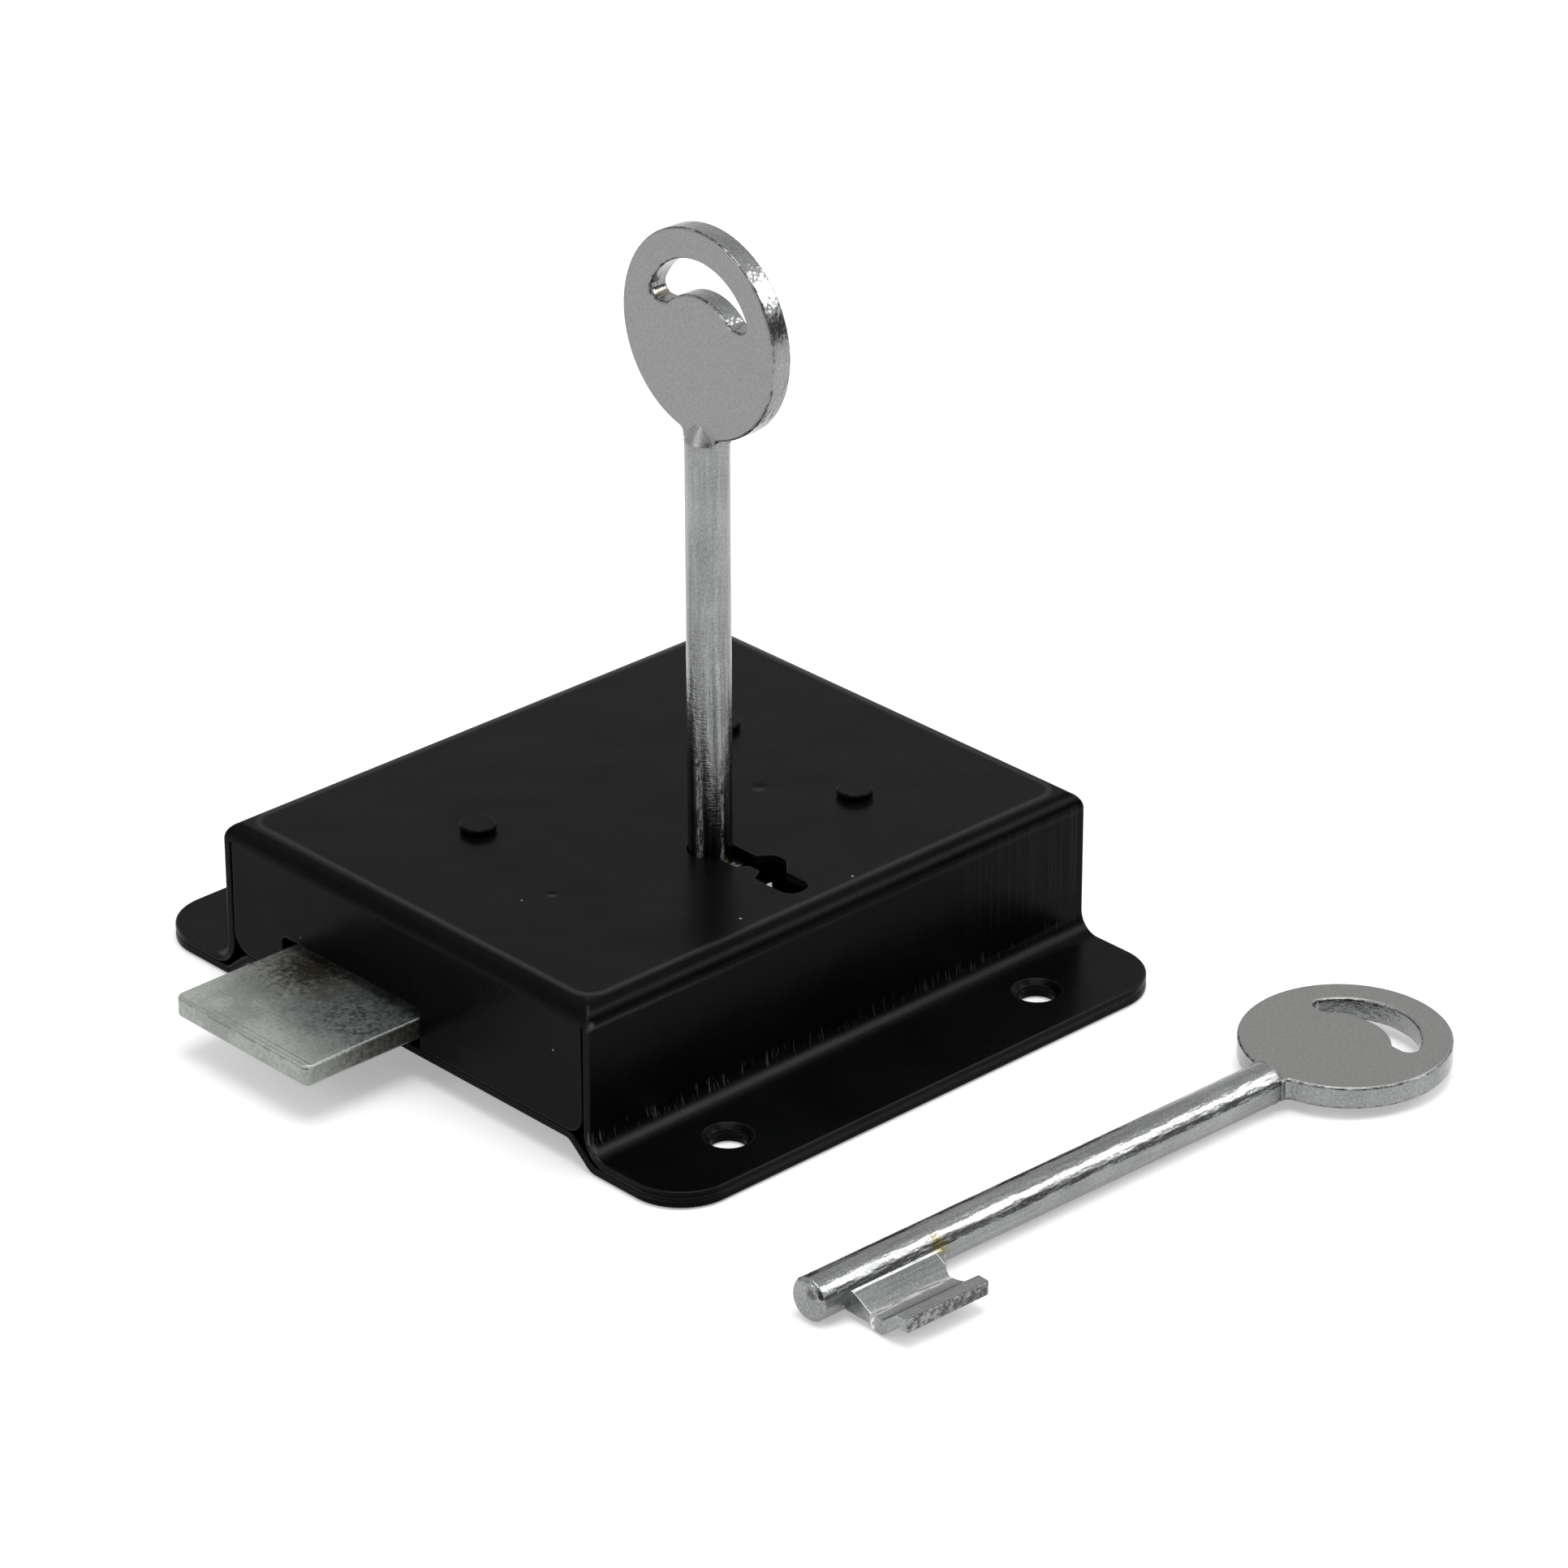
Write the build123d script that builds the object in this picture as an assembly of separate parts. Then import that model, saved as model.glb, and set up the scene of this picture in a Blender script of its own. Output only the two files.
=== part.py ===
from build123d import *
import math
import os

# A rim lock with its bolt thrown, one key standing in the keyhole and one lying beside it.
# Sizes are in millimetres. The lock screws to a door on the plane z = 0, its cover faces +Z,
# the bolt shoots along +X, and x = y = 0 is the middle of the four screw holes.

# Pressed sheets
sheet = 1.2
case_length = 90.4
case_width = 73.6
case_height = 23.6
top_bend_radius = 2.6
foot_bend_radius = 3.0
flange_width = 16.8
flange_corner_radius = 8.0
seam_width = 0.3
tab_corner_radius = 3.0
plate_rise = 3.45
joggle_run = 4.2
joggle_wall_gap = 1.2
joggle_bend_radius = 1.6

# Screw holes, sunk a little on the cover's side
screw_spacing_x = 56.6
screw_spacing_y = 89.6
screw_hole_radius = 2.5
screw_sink_radius = 3.4
screw_sink_depth = 0.7

# Riveted pillars: two guide the bolt and one carries the levers
front_pillar_x = 22.0
rear_pillar_x = -22.6
guide_pillar_y = -11.1
lever_pillar_x = -21.7
lever_pillar_y = 16.2
pillar_radius = 2.5
spigot_radius = 1.8
rivet_head_radius = 2.5
rivet_head_height = 0.75
rivet_neck_height = 0.35
rivet_edge_chamfer = 0.2
rivet_tail_radius = 2.7
rivet_tail_height = 1.0

# Rings on the pillars
ring_radius = 4.2
sleeve_radius = 3.3
ring_bore_clearance = 0.1
rivet_clearance = 0.04

# Bolt
bolt_width = 27.4
bolt_thickness = 3.1
bolt_middle_y = -10.9
bolt_tip_x = 64.0
bolt_bottom_z = 5.9
bolt_throw = 18.0
bolt_tip_corner_radius = 1.2
bolt_tip_edge_chamfer = 0.3
bolt_shoulder_rise = 3.2
bolt_stop_gap = 0.4
bolt_running_gap = 0.06
bolt_slot_clearance = 0.3
bolt_tail_corner_radius = 2.0
bolt_gate_side_gap = 0.4
bolt_gate_top_gap = 1.6
bolt_gate_corner_radius = 0.8

# Stump, the pin on the bolt that the levers hold
stump_radius = 1.6
stump_y = -6.2
stump_above_levers = 0.8

# Levers
lever_names = ["lower", "upper"]
lever_count = len(lever_names)
lever_thickness = 2.0
lever_spacing = 1.0
lever_side_gap = 0.05
lever_bolt_gap = 0.36
lever_bush_radius = 5.0
lever_body_length = 30.0
lever_body_height = 15.4
lever_body_middle_x = 1.2
lever_body_middle_y = -5.7
lever_body_corner_radius = 3.0
lever_arm_foot_x = -9.2
lever_arm_foot_y = -7.4
lever_drop_angle = 5.5
lever_bit_clearance = 0.35
gate_clearance = 0.3

# Lever springs, flat strips bent to a quarter circle
spring_thickness = 0.4
spring_width = 1.6
spring_root_x = 4.0
spring_root_depth = 2.5
spring_wall_gap = 0.3

# Keys
key_x = 2.9
key_y = 14.1
key_shank_radius = 3.0
key_length = 110.4
key_tip_z = 2.1
key_tip_chamfer = 0.5
tip_hole_clearance = 0.3
bit_tip_offset = 4.7
bit_length = 14.0
bit_radius = 13.3
bit_corner_radius = 0.5
bit_sweep_radius = 3.2
bit_sweep_reach = 7.0
bit_sweep_dip = 0.6
bit_ceiling_gap = 0.3

# The folded bit's three stretches, each between its front and its back across the fold
web_front = 0.75
web_back = -2.35
fold_front = -0.8
fold_back = -3.0
rim_front = 1.2
rim_back = -0.7
fold_near = 6.6
fold_far = 8.8
web_slope = 2.9
web_back_slope = 1.2
rim_slope = 2.5
fold_round = 0.8
bow_radius = 14.3
bow_thickness = 3.2
bow_edge_chamfer = 0.25
bow_neck_radius = 0.8
bow_collar_lip = 0.08
bow_collar_drop = 0.75
bow_collar_length = 2.5
crescent_outer_radius = 10.1
crescent_inner_radius = 8.0
crescent_width = 4.85
crescent_floor = 2.6
crescent_corner_radius = 1.35

# Keyhole in the cover, a stepped slot that follows the folded bit with play
keyhole_play = 0.5
keyhole_shank_play = 0.2
keyhole_web_play = 0.4
keyhole_fold_play = 1.9
keyhole_end_play = 4.0
keyhole_step = 1.6
keyhole_corner_radius = 0.55
keyhole_lobe_radius = 1.7
keyhole_end_radius = 1.9

# Spare key, lying flat on the floor beside the lock
spare_tip_x = 49.9
spare_tip_y = 82.3
spare_turn = -1.3

# Levels and planes that follow from the sizes above
flange_top_z = 2 * sheet
plate_top_z = plate_rise + sheet
ceiling_z = case_height - sheet
wall_inner_y = case_width / 2 - sheet
wall_inner_x = case_length / 2 - sheet
flange_edge_y = case_width / 2 + flange_width
bolt_top_z = bolt_bottom_z + bolt_thickness
lever_floor_z = bolt_top_z + lever_bolt_gap
lever_pitch = lever_thickness + lever_spacing
stack_top_z = lever_floor_z + lever_count * lever_pitch - lever_spacing
stump_x = key_x + bolt_throw / 2
ring_bore = pillar_radius + ring_bore_clearance
bow_middle_z = key_tip_z + key_length - bow_radius
bit_bottom_z = key_tip_z + bit_tip_offset
bit_top_z = bit_bottom_z + bit_length
shape_overrun = 1.0
corner_reach = 0.05


def prism(sketch, bottom, top):
    """Raises a plan sketch from one level to another."""
    return extrude(Pos(0, 0, bottom) * sketch, amount=top - bottom)


def disc(x, y, radius, bottom, top):
    """A round bar standing on its end."""
    return prism(Pos(x, y) * Circle(radius), bottom, top)


def ring(x, y, outer_radius, bore_radius, bottom, top):
    """A washer or sleeve."""
    return disc(x, y, outer_radius, bottom, top) - disc(x, y, bore_radius, bottom, top)


def slot_plan(start_x, end_x, middle_y, radius):
    """A straight slot along X with round ends about its two given centres."""
    start = Pos(start_x, middle_y) * Circle(radius)
    end = Pos(end_x, middle_y) * Circle(radius)
    return make_hull(start.edges() + end.edges())


def turned(x, y, angle):
    """Where a point comes to when it turns about the lever pillar."""
    reach = math.hypot(x - lever_pillar_x, y - lever_pillar_y)
    heading = math.atan2(y - lever_pillar_y, x - lever_pillar_x) + math.radians(angle)
    return lever_pillar_x + reach * math.cos(heading), lever_pillar_y + reach * math.sin(heading)


def corner_points(sketch, places):
    """The corners of a sketch that lie at the given places."""
    found = []
    for x, y in places:
        found += [v for v in sketch.vertices() if math.hypot(v.X - x, v.Y - y) < corner_reach]
    return found


def lock_outline():
    """The plan that cover and back plate share, with its round corners."""
    return RectangleRounded(case_length, 2 * flange_edge_y, flange_corner_radius)


def screw_places():
    """The middles of the four screw holes."""
    return [
        (side_x * screw_spacing_x / 2, side_y * screw_spacing_y / 2)
        for side_x in (-1, 1)
        for side_y in (-1, 1)
    ]


def pillar_places():
    """The middles of the three pillars."""
    return [
        (front_pillar_x, guide_pillar_y),
        (rear_pillar_x, guide_pillar_y),
        (lever_pillar_x, lever_pillar_y),
    ]


def bit_outline():
    """The folded bit seen from its end: the web at the shank, the fold and the outer rim."""
    front = [
        (web_front, 0),
        (web_front, fold_near - web_slope),
        (fold_front, fold_near),
        (fold_front, fold_far),
        (rim_front, fold_far + rim_slope),
        (rim_front, bit_radius),
    ]
    back = [
        (rim_back, bit_radius),
        (rim_back, fold_far + rim_slope),
        (fold_back, fold_far),
        (fold_back, fold_near + web_back_slope / 2),
        (web_back, fold_near - web_back_slope / 2),
        (web_back, 0),
    ]
    outline = make_face(Polyline(*front, *back, close=True))
    creases = [point for point in front + back if fold_near <= point[1] < fold_far + rim_slope]
    return fillet(corner_points(outline, creases), fold_round)


def keyhole_outline():
    """The keyhole: a round hole for the shank and a stepped slot for the bit."""
    end = bit_radius + keyhole_end_play
    front = [
        (web_front + keyhole_play, 0),
        (web_front + keyhole_play, fold_near - keyhole_corner_radius),
        (fold_front + keyhole_play, fold_near + keyhole_step / 2),
        (fold_front + keyhole_play, fold_far + keyhole_corner_radius),
        (rim_front + keyhole_play, fold_far + keyhole_step),
        (rim_front + keyhole_play, end),
    ]
    back_end = (rim_back - keyhole_fold_play, end)
    back_shoulder = (rim_back - keyhole_fold_play, fold_far + 2 * keyhole_step)
    lobe = [
        (fold_back - keyhole_fold_play, fold_far + keyhole_step / 2),
        (fold_back - keyhole_fold_play, fold_near + keyhole_step / 2),
    ]
    throat = (web_back - keyhole_web_play, fold_near - keyhole_step / 2)
    back = [back_end, back_shoulder, *lobe, throat, (web_back - keyhole_web_play, 0)]
    slot = make_face(Polyline(*front, *back, close=True))
    creases = [*front[1:-1], back_shoulder, throat]
    slot = fillet(corner_points(slot, creases), keyhole_corner_radius)
    slot = fillet(corner_points(slot, lobe), keyhole_lobe_radius)
    slot = fillet(corner_points(slot, [front[-1], back_end]), keyhole_end_radius)
    return slot + Circle(key_shank_radius + keyhole_shank_play)


def pan(half_x, half_y, top, bend_radius):
    """A block from the foot bends up, its top edges rounded."""
    skirt_z = flange_top_z + foot_bend_radius
    block = prism(Rectangle(2 * half_x, 2 * half_y), skirt_z, top)
    return fillet(block.edges().group_by(Axis.Z)[-1], bend_radius)


def cover_shell():
    """The drawn pan of the cover: top panel, side walls and end walls with rounded top bends."""
    outer = pan(case_length / 2, case_width / 2, case_height, top_bend_radius)
    return outer - pan(wall_inner_x, wall_inner_y, ceiling_z, top_bend_radius - sheet)


def foot_bends():
    """The side walls' feet, bent outward into the two mounting flanges."""
    wall_y = case_width / 2
    bend_y = wall_y + foot_bend_radius
    bend_z = flange_top_z + foot_bend_radius
    inner = RadiusArc((wall_inner_y, bend_z), (bend_y, sheet), -(foot_bend_radius + sheet))
    under = Line((bend_y, sheet), (flange_edge_y, sheet))
    edge = Line((flange_edge_y, sheet), (flange_edge_y, flange_top_z))
    upper = Line((flange_edge_y, flange_top_z), (bend_y, flange_top_z))
    outer = RadiusArc((bend_y, flange_top_z), (wall_y, bend_z), foot_bend_radius)
    shut = Line((wall_y, bend_z), (wall_inner_y, bend_z))
    section = make_face(Wire([inner, under, edge, upper, outer, shut]))
    foot = extrude(Plane.YZ * section, amount=case_length / 2, both=True)
    feet = foot + mirror(foot, about=Plane.XZ)
    return feet & prism(lock_outline(), 0, bend_z + shape_overrun)


def end_tab_feet():
    """The lower ends of the two end walls, which stand on the back plate."""
    width = 2 * (wall_inner_y - seam_width)
    skirt_z = flange_top_z + foot_bend_radius
    drop = skirt_z - plate_top_z + tab_corner_radius
    tab = Rectangle(width, drop, align=(Align.CENTER, Align.MIN))
    tab = fillet(tab.vertices().group_by(Axis.Y)[0], tab_corner_radius)
    foot = extrude(Plane.YZ * Pos(0, plate_top_z) * tab, amount=sheet)
    ends = Pos(wall_inner_x, 0, 0) * foot
    return ends + mirror(ends, about=Plane.YZ)


def seam_slits():
    """The slits between end walls and side walls, opened out at the end walls' round corners."""
    slit_y = wall_inner_y - seam_width
    slit_top = case_height - top_bend_radius
    slit = Pos(slit_y, 0) * Rectangle(seam_width, slit_top, align=(Align.MIN, Align.MIN))
    corner = Pos(wall_inner_y, plate_top_z) * Rectangle(
        seam_width + tab_corner_radius, tab_corner_radius, align=(Align.MAX, Align.MIN)
    )
    corner -= Pos(slit_y - tab_corner_radius, plate_top_z + tab_corner_radius) * Circle(tab_corner_radius)
    depth = sheet + 2 * shape_overrun
    one_end = Pos(wall_inner_x - shape_overrun, 0, 0) * extrude(Plane.YZ * (slit + corner), amount=depth)
    both_ends = one_end + mirror(one_end, about=Plane.YZ)
    return both_ends + mirror(both_ends, about=Plane.XZ)


def bolt_gate():
    """The opening in the front end wall that the bolt comes through, open at the bottom."""
    width = bolt_width + 2 * bolt_gate_side_gap
    top = bolt_top_z + bolt_gate_top_gap
    gate = Pos(bolt_middle_y, 0) * Rectangle(width, top, align=(Align.CENTER, Align.MIN))
    gate = fillet(gate.vertices().group_by(Axis.Y)[-1], bolt_gate_corner_radius)
    depth = sheet + 2 * shape_overrun
    return Pos(wall_inner_x - shape_overrun, 0, 0) * extrude(Plane.YZ * gate, amount=depth)


def cover_holes():
    """Screw holes with their sinks, rivet holes and the keyhole."""
    below = ceiling_z - shape_overrun
    above = case_height + shape_overrun
    cut = Pos(key_x, key_y) * prism(keyhole_outline(), below, above)
    for x, y in pillar_places():
        cut += disc(x, y, spigot_radius + rivet_clearance, below, above)
    for x, y in screw_places():
        cut += disc(x, y, screw_hole_radius, 0, flange_top_z + shape_overrun)
        cut += Pos(x, y, flange_top_z - screw_sink_depth / 2) * Cone(
            screw_hole_radius, screw_sink_radius, screw_sink_depth
        )
    return cut


def case_cap():
    """The cover, pressed and bent from one sheet."""
    cap = cover_shell() + foot_bends() + end_tab_feet()
    cap -= seam_slits()
    cap -= bolt_gate()
    return cap - cover_holes()


def back_plate():
    """The plate under the cover, with its middle raised off the door."""
    joggle_out = wall_inner_y + joggle_wall_gap
    joggle_in = joggle_out - joggle_run
    shift = sheet * math.tan(math.atan2(plate_rise, joggle_run) / 2)
    low_out = (joggle_out, 0)
    low_in = (joggle_in, plate_rise)
    high_out = (joggle_out + shift, sheet)
    high_in = (joggle_in + shift, plate_top_z)
    half = [low_in, low_out, (flange_edge_y, 0), (flange_edge_y, sheet), high_out, high_in]
    other = [(-y, z) for y, z in reversed(half)]
    section = make_face(Polyline(*half, *other, close=True))
    tight = corner_points(section, [low_in, high_out, (-low_in[0], low_in[1]), (-high_out[0], high_out[1])])
    section = fillet(tight, joggle_bend_radius)
    wide = corner_points(section, [low_out, high_in, (-low_out[0], low_out[1]), (-high_in[0], high_in[1])])
    section = fillet(wide, joggle_bend_radius + sheet)
    plate = extrude(Plane.YZ * section, amount=case_length / 2, both=True)
    plate &= prism(lock_outline(), -shape_overrun, plate_top_z + shape_overrun)
    plate -= disc(key_x, key_y, key_shank_radius + tip_hole_clearance, 0, plate_top_z + shape_overrun)
    for x, y in pillar_places():
        plate -= disc(x, y, spigot_radius + rivet_clearance, 0, plate_top_z + shape_overrun)
    for x, y in screw_places():
        plate -= disc(x, y, screw_hole_radius, -shape_overrun, sheet + shape_overrun)
    return plate


def pillar(x, y):
    """A shouldered pillar, riveted through the cover and through the back plate."""
    shaft = disc(x, y, pillar_radius, plate_top_z, ceiling_z)
    head_z = case_height + rivet_neck_height
    spigots = disc(x, y, spigot_radius, plate_rise - rivet_tail_height / 2, head_z)
    head = disc(x, y, rivet_head_radius, head_z, head_z + rivet_head_height)
    head = chamfer(head.edges().group_by(Axis.Z)[-1], rivet_edge_chamfer)
    tail = disc(x, y, rivet_tail_radius, plate_rise - rivet_tail_height, plate_rise)
    tail = chamfer(tail.edges().group_by(Axis.Z)[0], rivet_tail_height / 2)
    return shaft + spigots + head + tail


def bolt_washer(x):
    """The washer that lifts the bolt off the back plate at a guide pillar."""
    return ring(x, guide_pillar_y, ring_radius, ring_bore, plate_top_z, bolt_bottom_z - bolt_running_gap)


def bolt_sleeve(x):
    """The sleeve that keeps the bolt down on its washer."""
    return ring(x, guide_pillar_y, sleeve_radius, ring_bore, bolt_top_z + bolt_running_gap, ceiling_z)


def lever_foot_sleeve():
    """The sleeve under the lowest lever."""
    top = lever_floor_z - lever_side_gap
    return ring(lever_pillar_x, lever_pillar_y, ring_radius, ring_bore, plate_top_z, top)


def lever_washer(level):
    """The washer that a lever above the lowest one stands on."""
    bottom = lever_floor_z + level * lever_pitch - lever_spacing + lever_side_gap
    top = lever_floor_z + level * lever_pitch - lever_side_gap
    return ring(lever_pillar_x, lever_pillar_y, ring_radius, ring_bore, bottom, top)


def lever_head_sleeve():
    """The sleeve between the highest lever and the cover."""
    bottom = stack_top_z + lever_side_gap
    return ring(lever_pillar_x, lever_pillar_y, ring_radius, ring_bore, bottom, ceiling_z)


def bolt_plan():
    """The bolt's outline: head, shoulder, tail, the gullet for the bit and the two guide slots."""
    side = bolt_middle_y - bolt_width / 2
    shoulder_x = wall_inner_x - bolt_stop_gap
    tail_x = bolt_throw - wall_inner_x + bolt_stop_gap
    head = Pos(tail_x, side) * Rectangle(bolt_tip_x - tail_x, bolt_width, align=(Align.MIN, Align.MIN))
    head = fillet(head.vertices().group_by(Axis.X)[-1], bolt_tip_corner_radius)
    tail = Pos(tail_x, side) * Rectangle(
        shoulder_x - tail_x, bolt_width + bolt_shoulder_rise, align=(Align.MIN, Align.MIN)
    )
    plan = head + tail
    plan = fillet(plan.vertices().group_by(Axis.X)[0], bolt_tail_corner_radius)
    slot_radius = pillar_radius + bolt_slot_clearance
    plan -= slot_plan(front_pillar_x, front_pillar_x + bolt_throw, guide_pillar_y, slot_radius)
    plan -= slot_plan(tail_x - slot_radius, rear_pillar_x + bolt_throw, guide_pillar_y, slot_radius)
    gullet_radius = bit_radius + lever_bit_clearance
    plan -= Pos(stump_x, key_y) * Circle(gullet_radius)
    return plan - Pos(stump_x, stump_y) * Circle(stump_radius + rivet_clearance)


def bolt():
    """The bolt, one flat bar with the edges of its shooting end slightly broken."""
    bar = prism(bolt_plan(), bolt_bottom_z, bolt_top_z)
    tip_start_x = bolt_tip_x - bolt_tip_corner_radius
    rims = [edge for edge in bar.edges().filter_by(Plane.XY) if edge.center().X > tip_start_x]
    return chamfer(rims, bolt_tip_edge_chamfer)


def bolt_stump():
    """The stump, riveted into the bolt and standing up through the levers' gates."""
    return disc(stump_x, stump_y, stump_radius, bolt_bottom_z, stack_top_z + stump_above_levers)


def gate_plan():
    """The gate in a lever: a straight channel for the stump with a pocket at each end."""
    radius = stump_radius + gate_clearance
    rear_x = stump_x - bolt_throw
    plan = slot_plan(rear_x, stump_x, stump_y, radius)
    for x in (rear_x, stump_x):
        pocket_x, pocket_y = turned(x, stump_y, -lever_drop_angle)
        here = Pos(x, stump_y) * Circle(radius)
        dropped = Pos(pocket_x, pocket_y) * Circle(radius)
        plan += make_hull(here.edges() + dropped.edges())
    return plan


def lever_plan():
    """A lever's outline, drawn as the bit lifts it, with its gate in line with the stump."""
    body = Pos(lever_body_middle_x, lever_body_middle_y) * RectangleRounded(
        lever_body_length, lever_body_height, lever_body_corner_radius
    )
    bush = Pos(lever_pillar_x, lever_pillar_y) * Circle(lever_bush_radius)
    foot = Pos(lever_arm_foot_x, lever_arm_foot_y) * Circle(lever_bush_radius)
    plan = body + make_hull(bush.edges() + foot.edges())
    plan -= Pos(key_x, key_y) * Circle(bit_radius + lever_bit_clearance)
    plan -= Pos(lever_pillar_x, lever_pillar_y) * Circle(ring_bore)
    plan -= gate_plan()
    edge_y = lever_body_middle_y - lever_body_height / 2
    slit = Pos(spring_root_x, edge_y) * Rectangle(
        spring_thickness, 2 * spring_root_depth, align=(Align.CENTER, Align.CENTER)
    )
    return plan - slit


def lever(level):
    """One lever at its place in the stack."""
    bottom = lever_floor_z + level * lever_pitch
    return prism(lever_plan(), bottom, bottom + lever_thickness)


def lever_spring(level):
    """A lever's spring: a strip set in the lever's edge, curving round to the side wall."""
    edge_y = lever_body_middle_y - lever_body_height / 2
    reach = edge_y + wall_inner_y - spring_wall_gap
    middle = Pos(spring_root_x - reach + spring_thickness / 2, edge_y)
    band = middle * (Circle(reach) - Circle(reach - spring_thickness))
    quarter = middle * Rectangle(2 * reach, 2 * reach, align=(Align.MIN, Align.MAX))
    root = Pos(spring_root_x, edge_y) * Rectangle(
        spring_thickness, spring_root_depth, align=(Align.CENTER, Align.MIN)
    )
    bottom = lever_floor_z + level * lever_pitch + (lever_thickness - spring_width) / 2
    return prism((band & quarter) + root, bottom, bottom + spring_width)


def bow_outline():
    """The key's bow seen face on: a disc on its collar, with the crescent hole."""
    collar_half = key_shank_radius + bow_collar_lip
    collar = Pos(0, -bow_radius - bow_collar_drop) * Rectangle(
        2 * collar_half, bow_radius / 2, align=(Align.CENTER, Align.MIN)
    )
    plan = Circle(bow_radius) + collar
    corner_z = -math.sqrt(bow_radius**2 - collar_half**2)
    plan = fillet(corner_points(plan, [(-collar_half, corner_z), (collar_half, corner_z)]), bow_neck_radius)
    inner_z = crescent_outer_radius - crescent_width - crescent_inner_radius
    hole = Circle(crescent_outer_radius) - Pos(0, inner_z) * Circle(crescent_inner_radius)
    hole &= Pos(0, crescent_floor) * Rectangle(2 * bow_radius, bow_radius, align=(Align.CENTER, Align.MIN))
    hole = fillet(hole.vertices(), crescent_corner_radius)
    return plan - hole


def key_bow():
    """The flat bow, its edges broken, on a round collar that runs out into its faces."""
    bow = extrude(Plane.YZ * bow_outline(), amount=bow_thickness / 2, both=True)
    faces = bow.faces().filter_by(Axis.X)
    rims = faces[0].edges() + faces[-1].edges()
    eased = [edge for edge in rims if edge.center().Z > -bow_radius]
    bow = chamfer(eased, bow_edge_chamfer)
    bottom = -bow_radius - bow_collar_drop
    collar = Pos(0, 0, bottom + bow_collar_length / 2) * Cone(
        key_shank_radius + bow_collar_lip, bow_thickness / 2, bow_collar_length
    )
    return Pos(0, 0, bow_middle_z) * (bow + collar)


def key_shank():
    """The round shank with its eased tip, up to the collar."""
    bar = disc(0, 0, key_shank_radius, key_tip_z, bow_middle_z - bow_radius - bow_collar_drop)
    return chamfer(bar.edges().group_by(Axis.Z)[0], key_tip_chamfer)


def key_bit():
    """The bit, folded along its length, with a round notch towards the shank on its upper side."""
    notch_z = bit_top_z - bit_sweep_dip + bit_sweep_radius
    bit = prism(bit_outline(), bit_bottom_z, ceiling_z - bit_ceiling_gap)
    waste = Pos(bit_sweep_reach, notch_z) * Circle(bit_sweep_radius)
    waste += Pos(bit_sweep_reach, bit_top_z) * Rectangle(
        bit_radius, 2 * bit_sweep_radius, align=(Align.MIN, Align.MIN)
    )
    bit -= extrude(Plane.YZ * waste, amount=bit_radius, both=True)
    rim = [e for e in bit.edges().filter_by(Axis.X) if e.center().Y > bit_radius - bit_corner_radius]
    return fillet(rim, bit_corner_radius)


def key_blank():
    """One key, upright on its own axis with the bit towards +Y."""
    return key_shank() + key_bow() + key_bit()


def lying_key(blank):
    """The spare key on the floor, bow flat, bit towards the lock's free side."""
    level = Plane(origin=(0, 0, 0), x_dir=(0, 0, 1), z_dir=(-1, 0, 0)) * (Pos(0, 0, -key_tip_z) * blank)
    height = key_shank_radius + bow_collar_lip
    return Pos(spare_tip_x, spare_tip_y, height) * Rot(0, 0, spare_turn) * level


def write(name, solid):
    """Writes one piece under its own name."""
    export_step(solid, f"parts/{name}.step")


def main():
    os.makedirs("parts", exist_ok=True)
    write("case_cap", case_cap())
    write("back_plate", back_plate())
    for name, (x, y) in zip(("front_pillar", "rear_pillar", "lever_pillar"), pillar_places()):
        write(name, pillar(x, y))
    for name, x in (("front", front_pillar_x), ("rear", rear_pillar_x)):
        write(f"{name}_washer", bolt_washer(x))
        write(f"{name}_sleeve", bolt_sleeve(x))
    write("lever_foot_sleeve", lever_foot_sleeve())
    write("lever_head_sleeve", lever_head_sleeve())
    write("bolt", bolt())
    write("bolt_stump", bolt_stump())
    for level, name in enumerate(lever_names):
        write(f"{name}_lever", lever(level))
        write(f"{name}_lever_spring", lever_spring(level))
        if level > 0:
            write(f"{name}_lever_washer", lever_washer(level))
    blank = key_blank()
    write("key", Pos(key_x, key_y, 0) * blank)
    write("spare_key", lying_key(blank))


main()
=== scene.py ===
"""Looks of a rim lock: its painted case, steel bolt and two plated keys, on a pale floor."""

import logging
import math
from dataclasses import dataclass, field
from enum import Enum

import bmesh
import bpy
from mathutils import Matrix, Vector

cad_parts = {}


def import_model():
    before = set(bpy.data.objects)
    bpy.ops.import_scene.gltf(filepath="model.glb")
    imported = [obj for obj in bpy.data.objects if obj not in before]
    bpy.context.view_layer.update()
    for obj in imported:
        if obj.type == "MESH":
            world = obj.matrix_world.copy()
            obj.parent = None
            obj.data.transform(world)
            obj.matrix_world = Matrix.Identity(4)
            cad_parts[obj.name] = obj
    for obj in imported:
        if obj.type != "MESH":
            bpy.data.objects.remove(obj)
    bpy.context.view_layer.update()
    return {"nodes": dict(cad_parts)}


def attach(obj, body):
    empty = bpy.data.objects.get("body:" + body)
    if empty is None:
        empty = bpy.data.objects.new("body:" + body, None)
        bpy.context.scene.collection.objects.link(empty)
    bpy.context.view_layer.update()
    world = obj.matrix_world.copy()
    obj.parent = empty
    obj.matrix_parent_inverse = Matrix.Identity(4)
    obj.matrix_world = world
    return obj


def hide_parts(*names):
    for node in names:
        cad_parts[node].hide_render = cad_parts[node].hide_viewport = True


LOG = logging.getLogger("rim_lock")
MM = 0.001
PER_METRE = 1000.0
ORIGIN = (0.0, 0.0, 0.0)
UNITS = (1.0, 1.0, 1.0)
WHITE = (1.0, 1.0, 1.0, 1.0)

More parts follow.
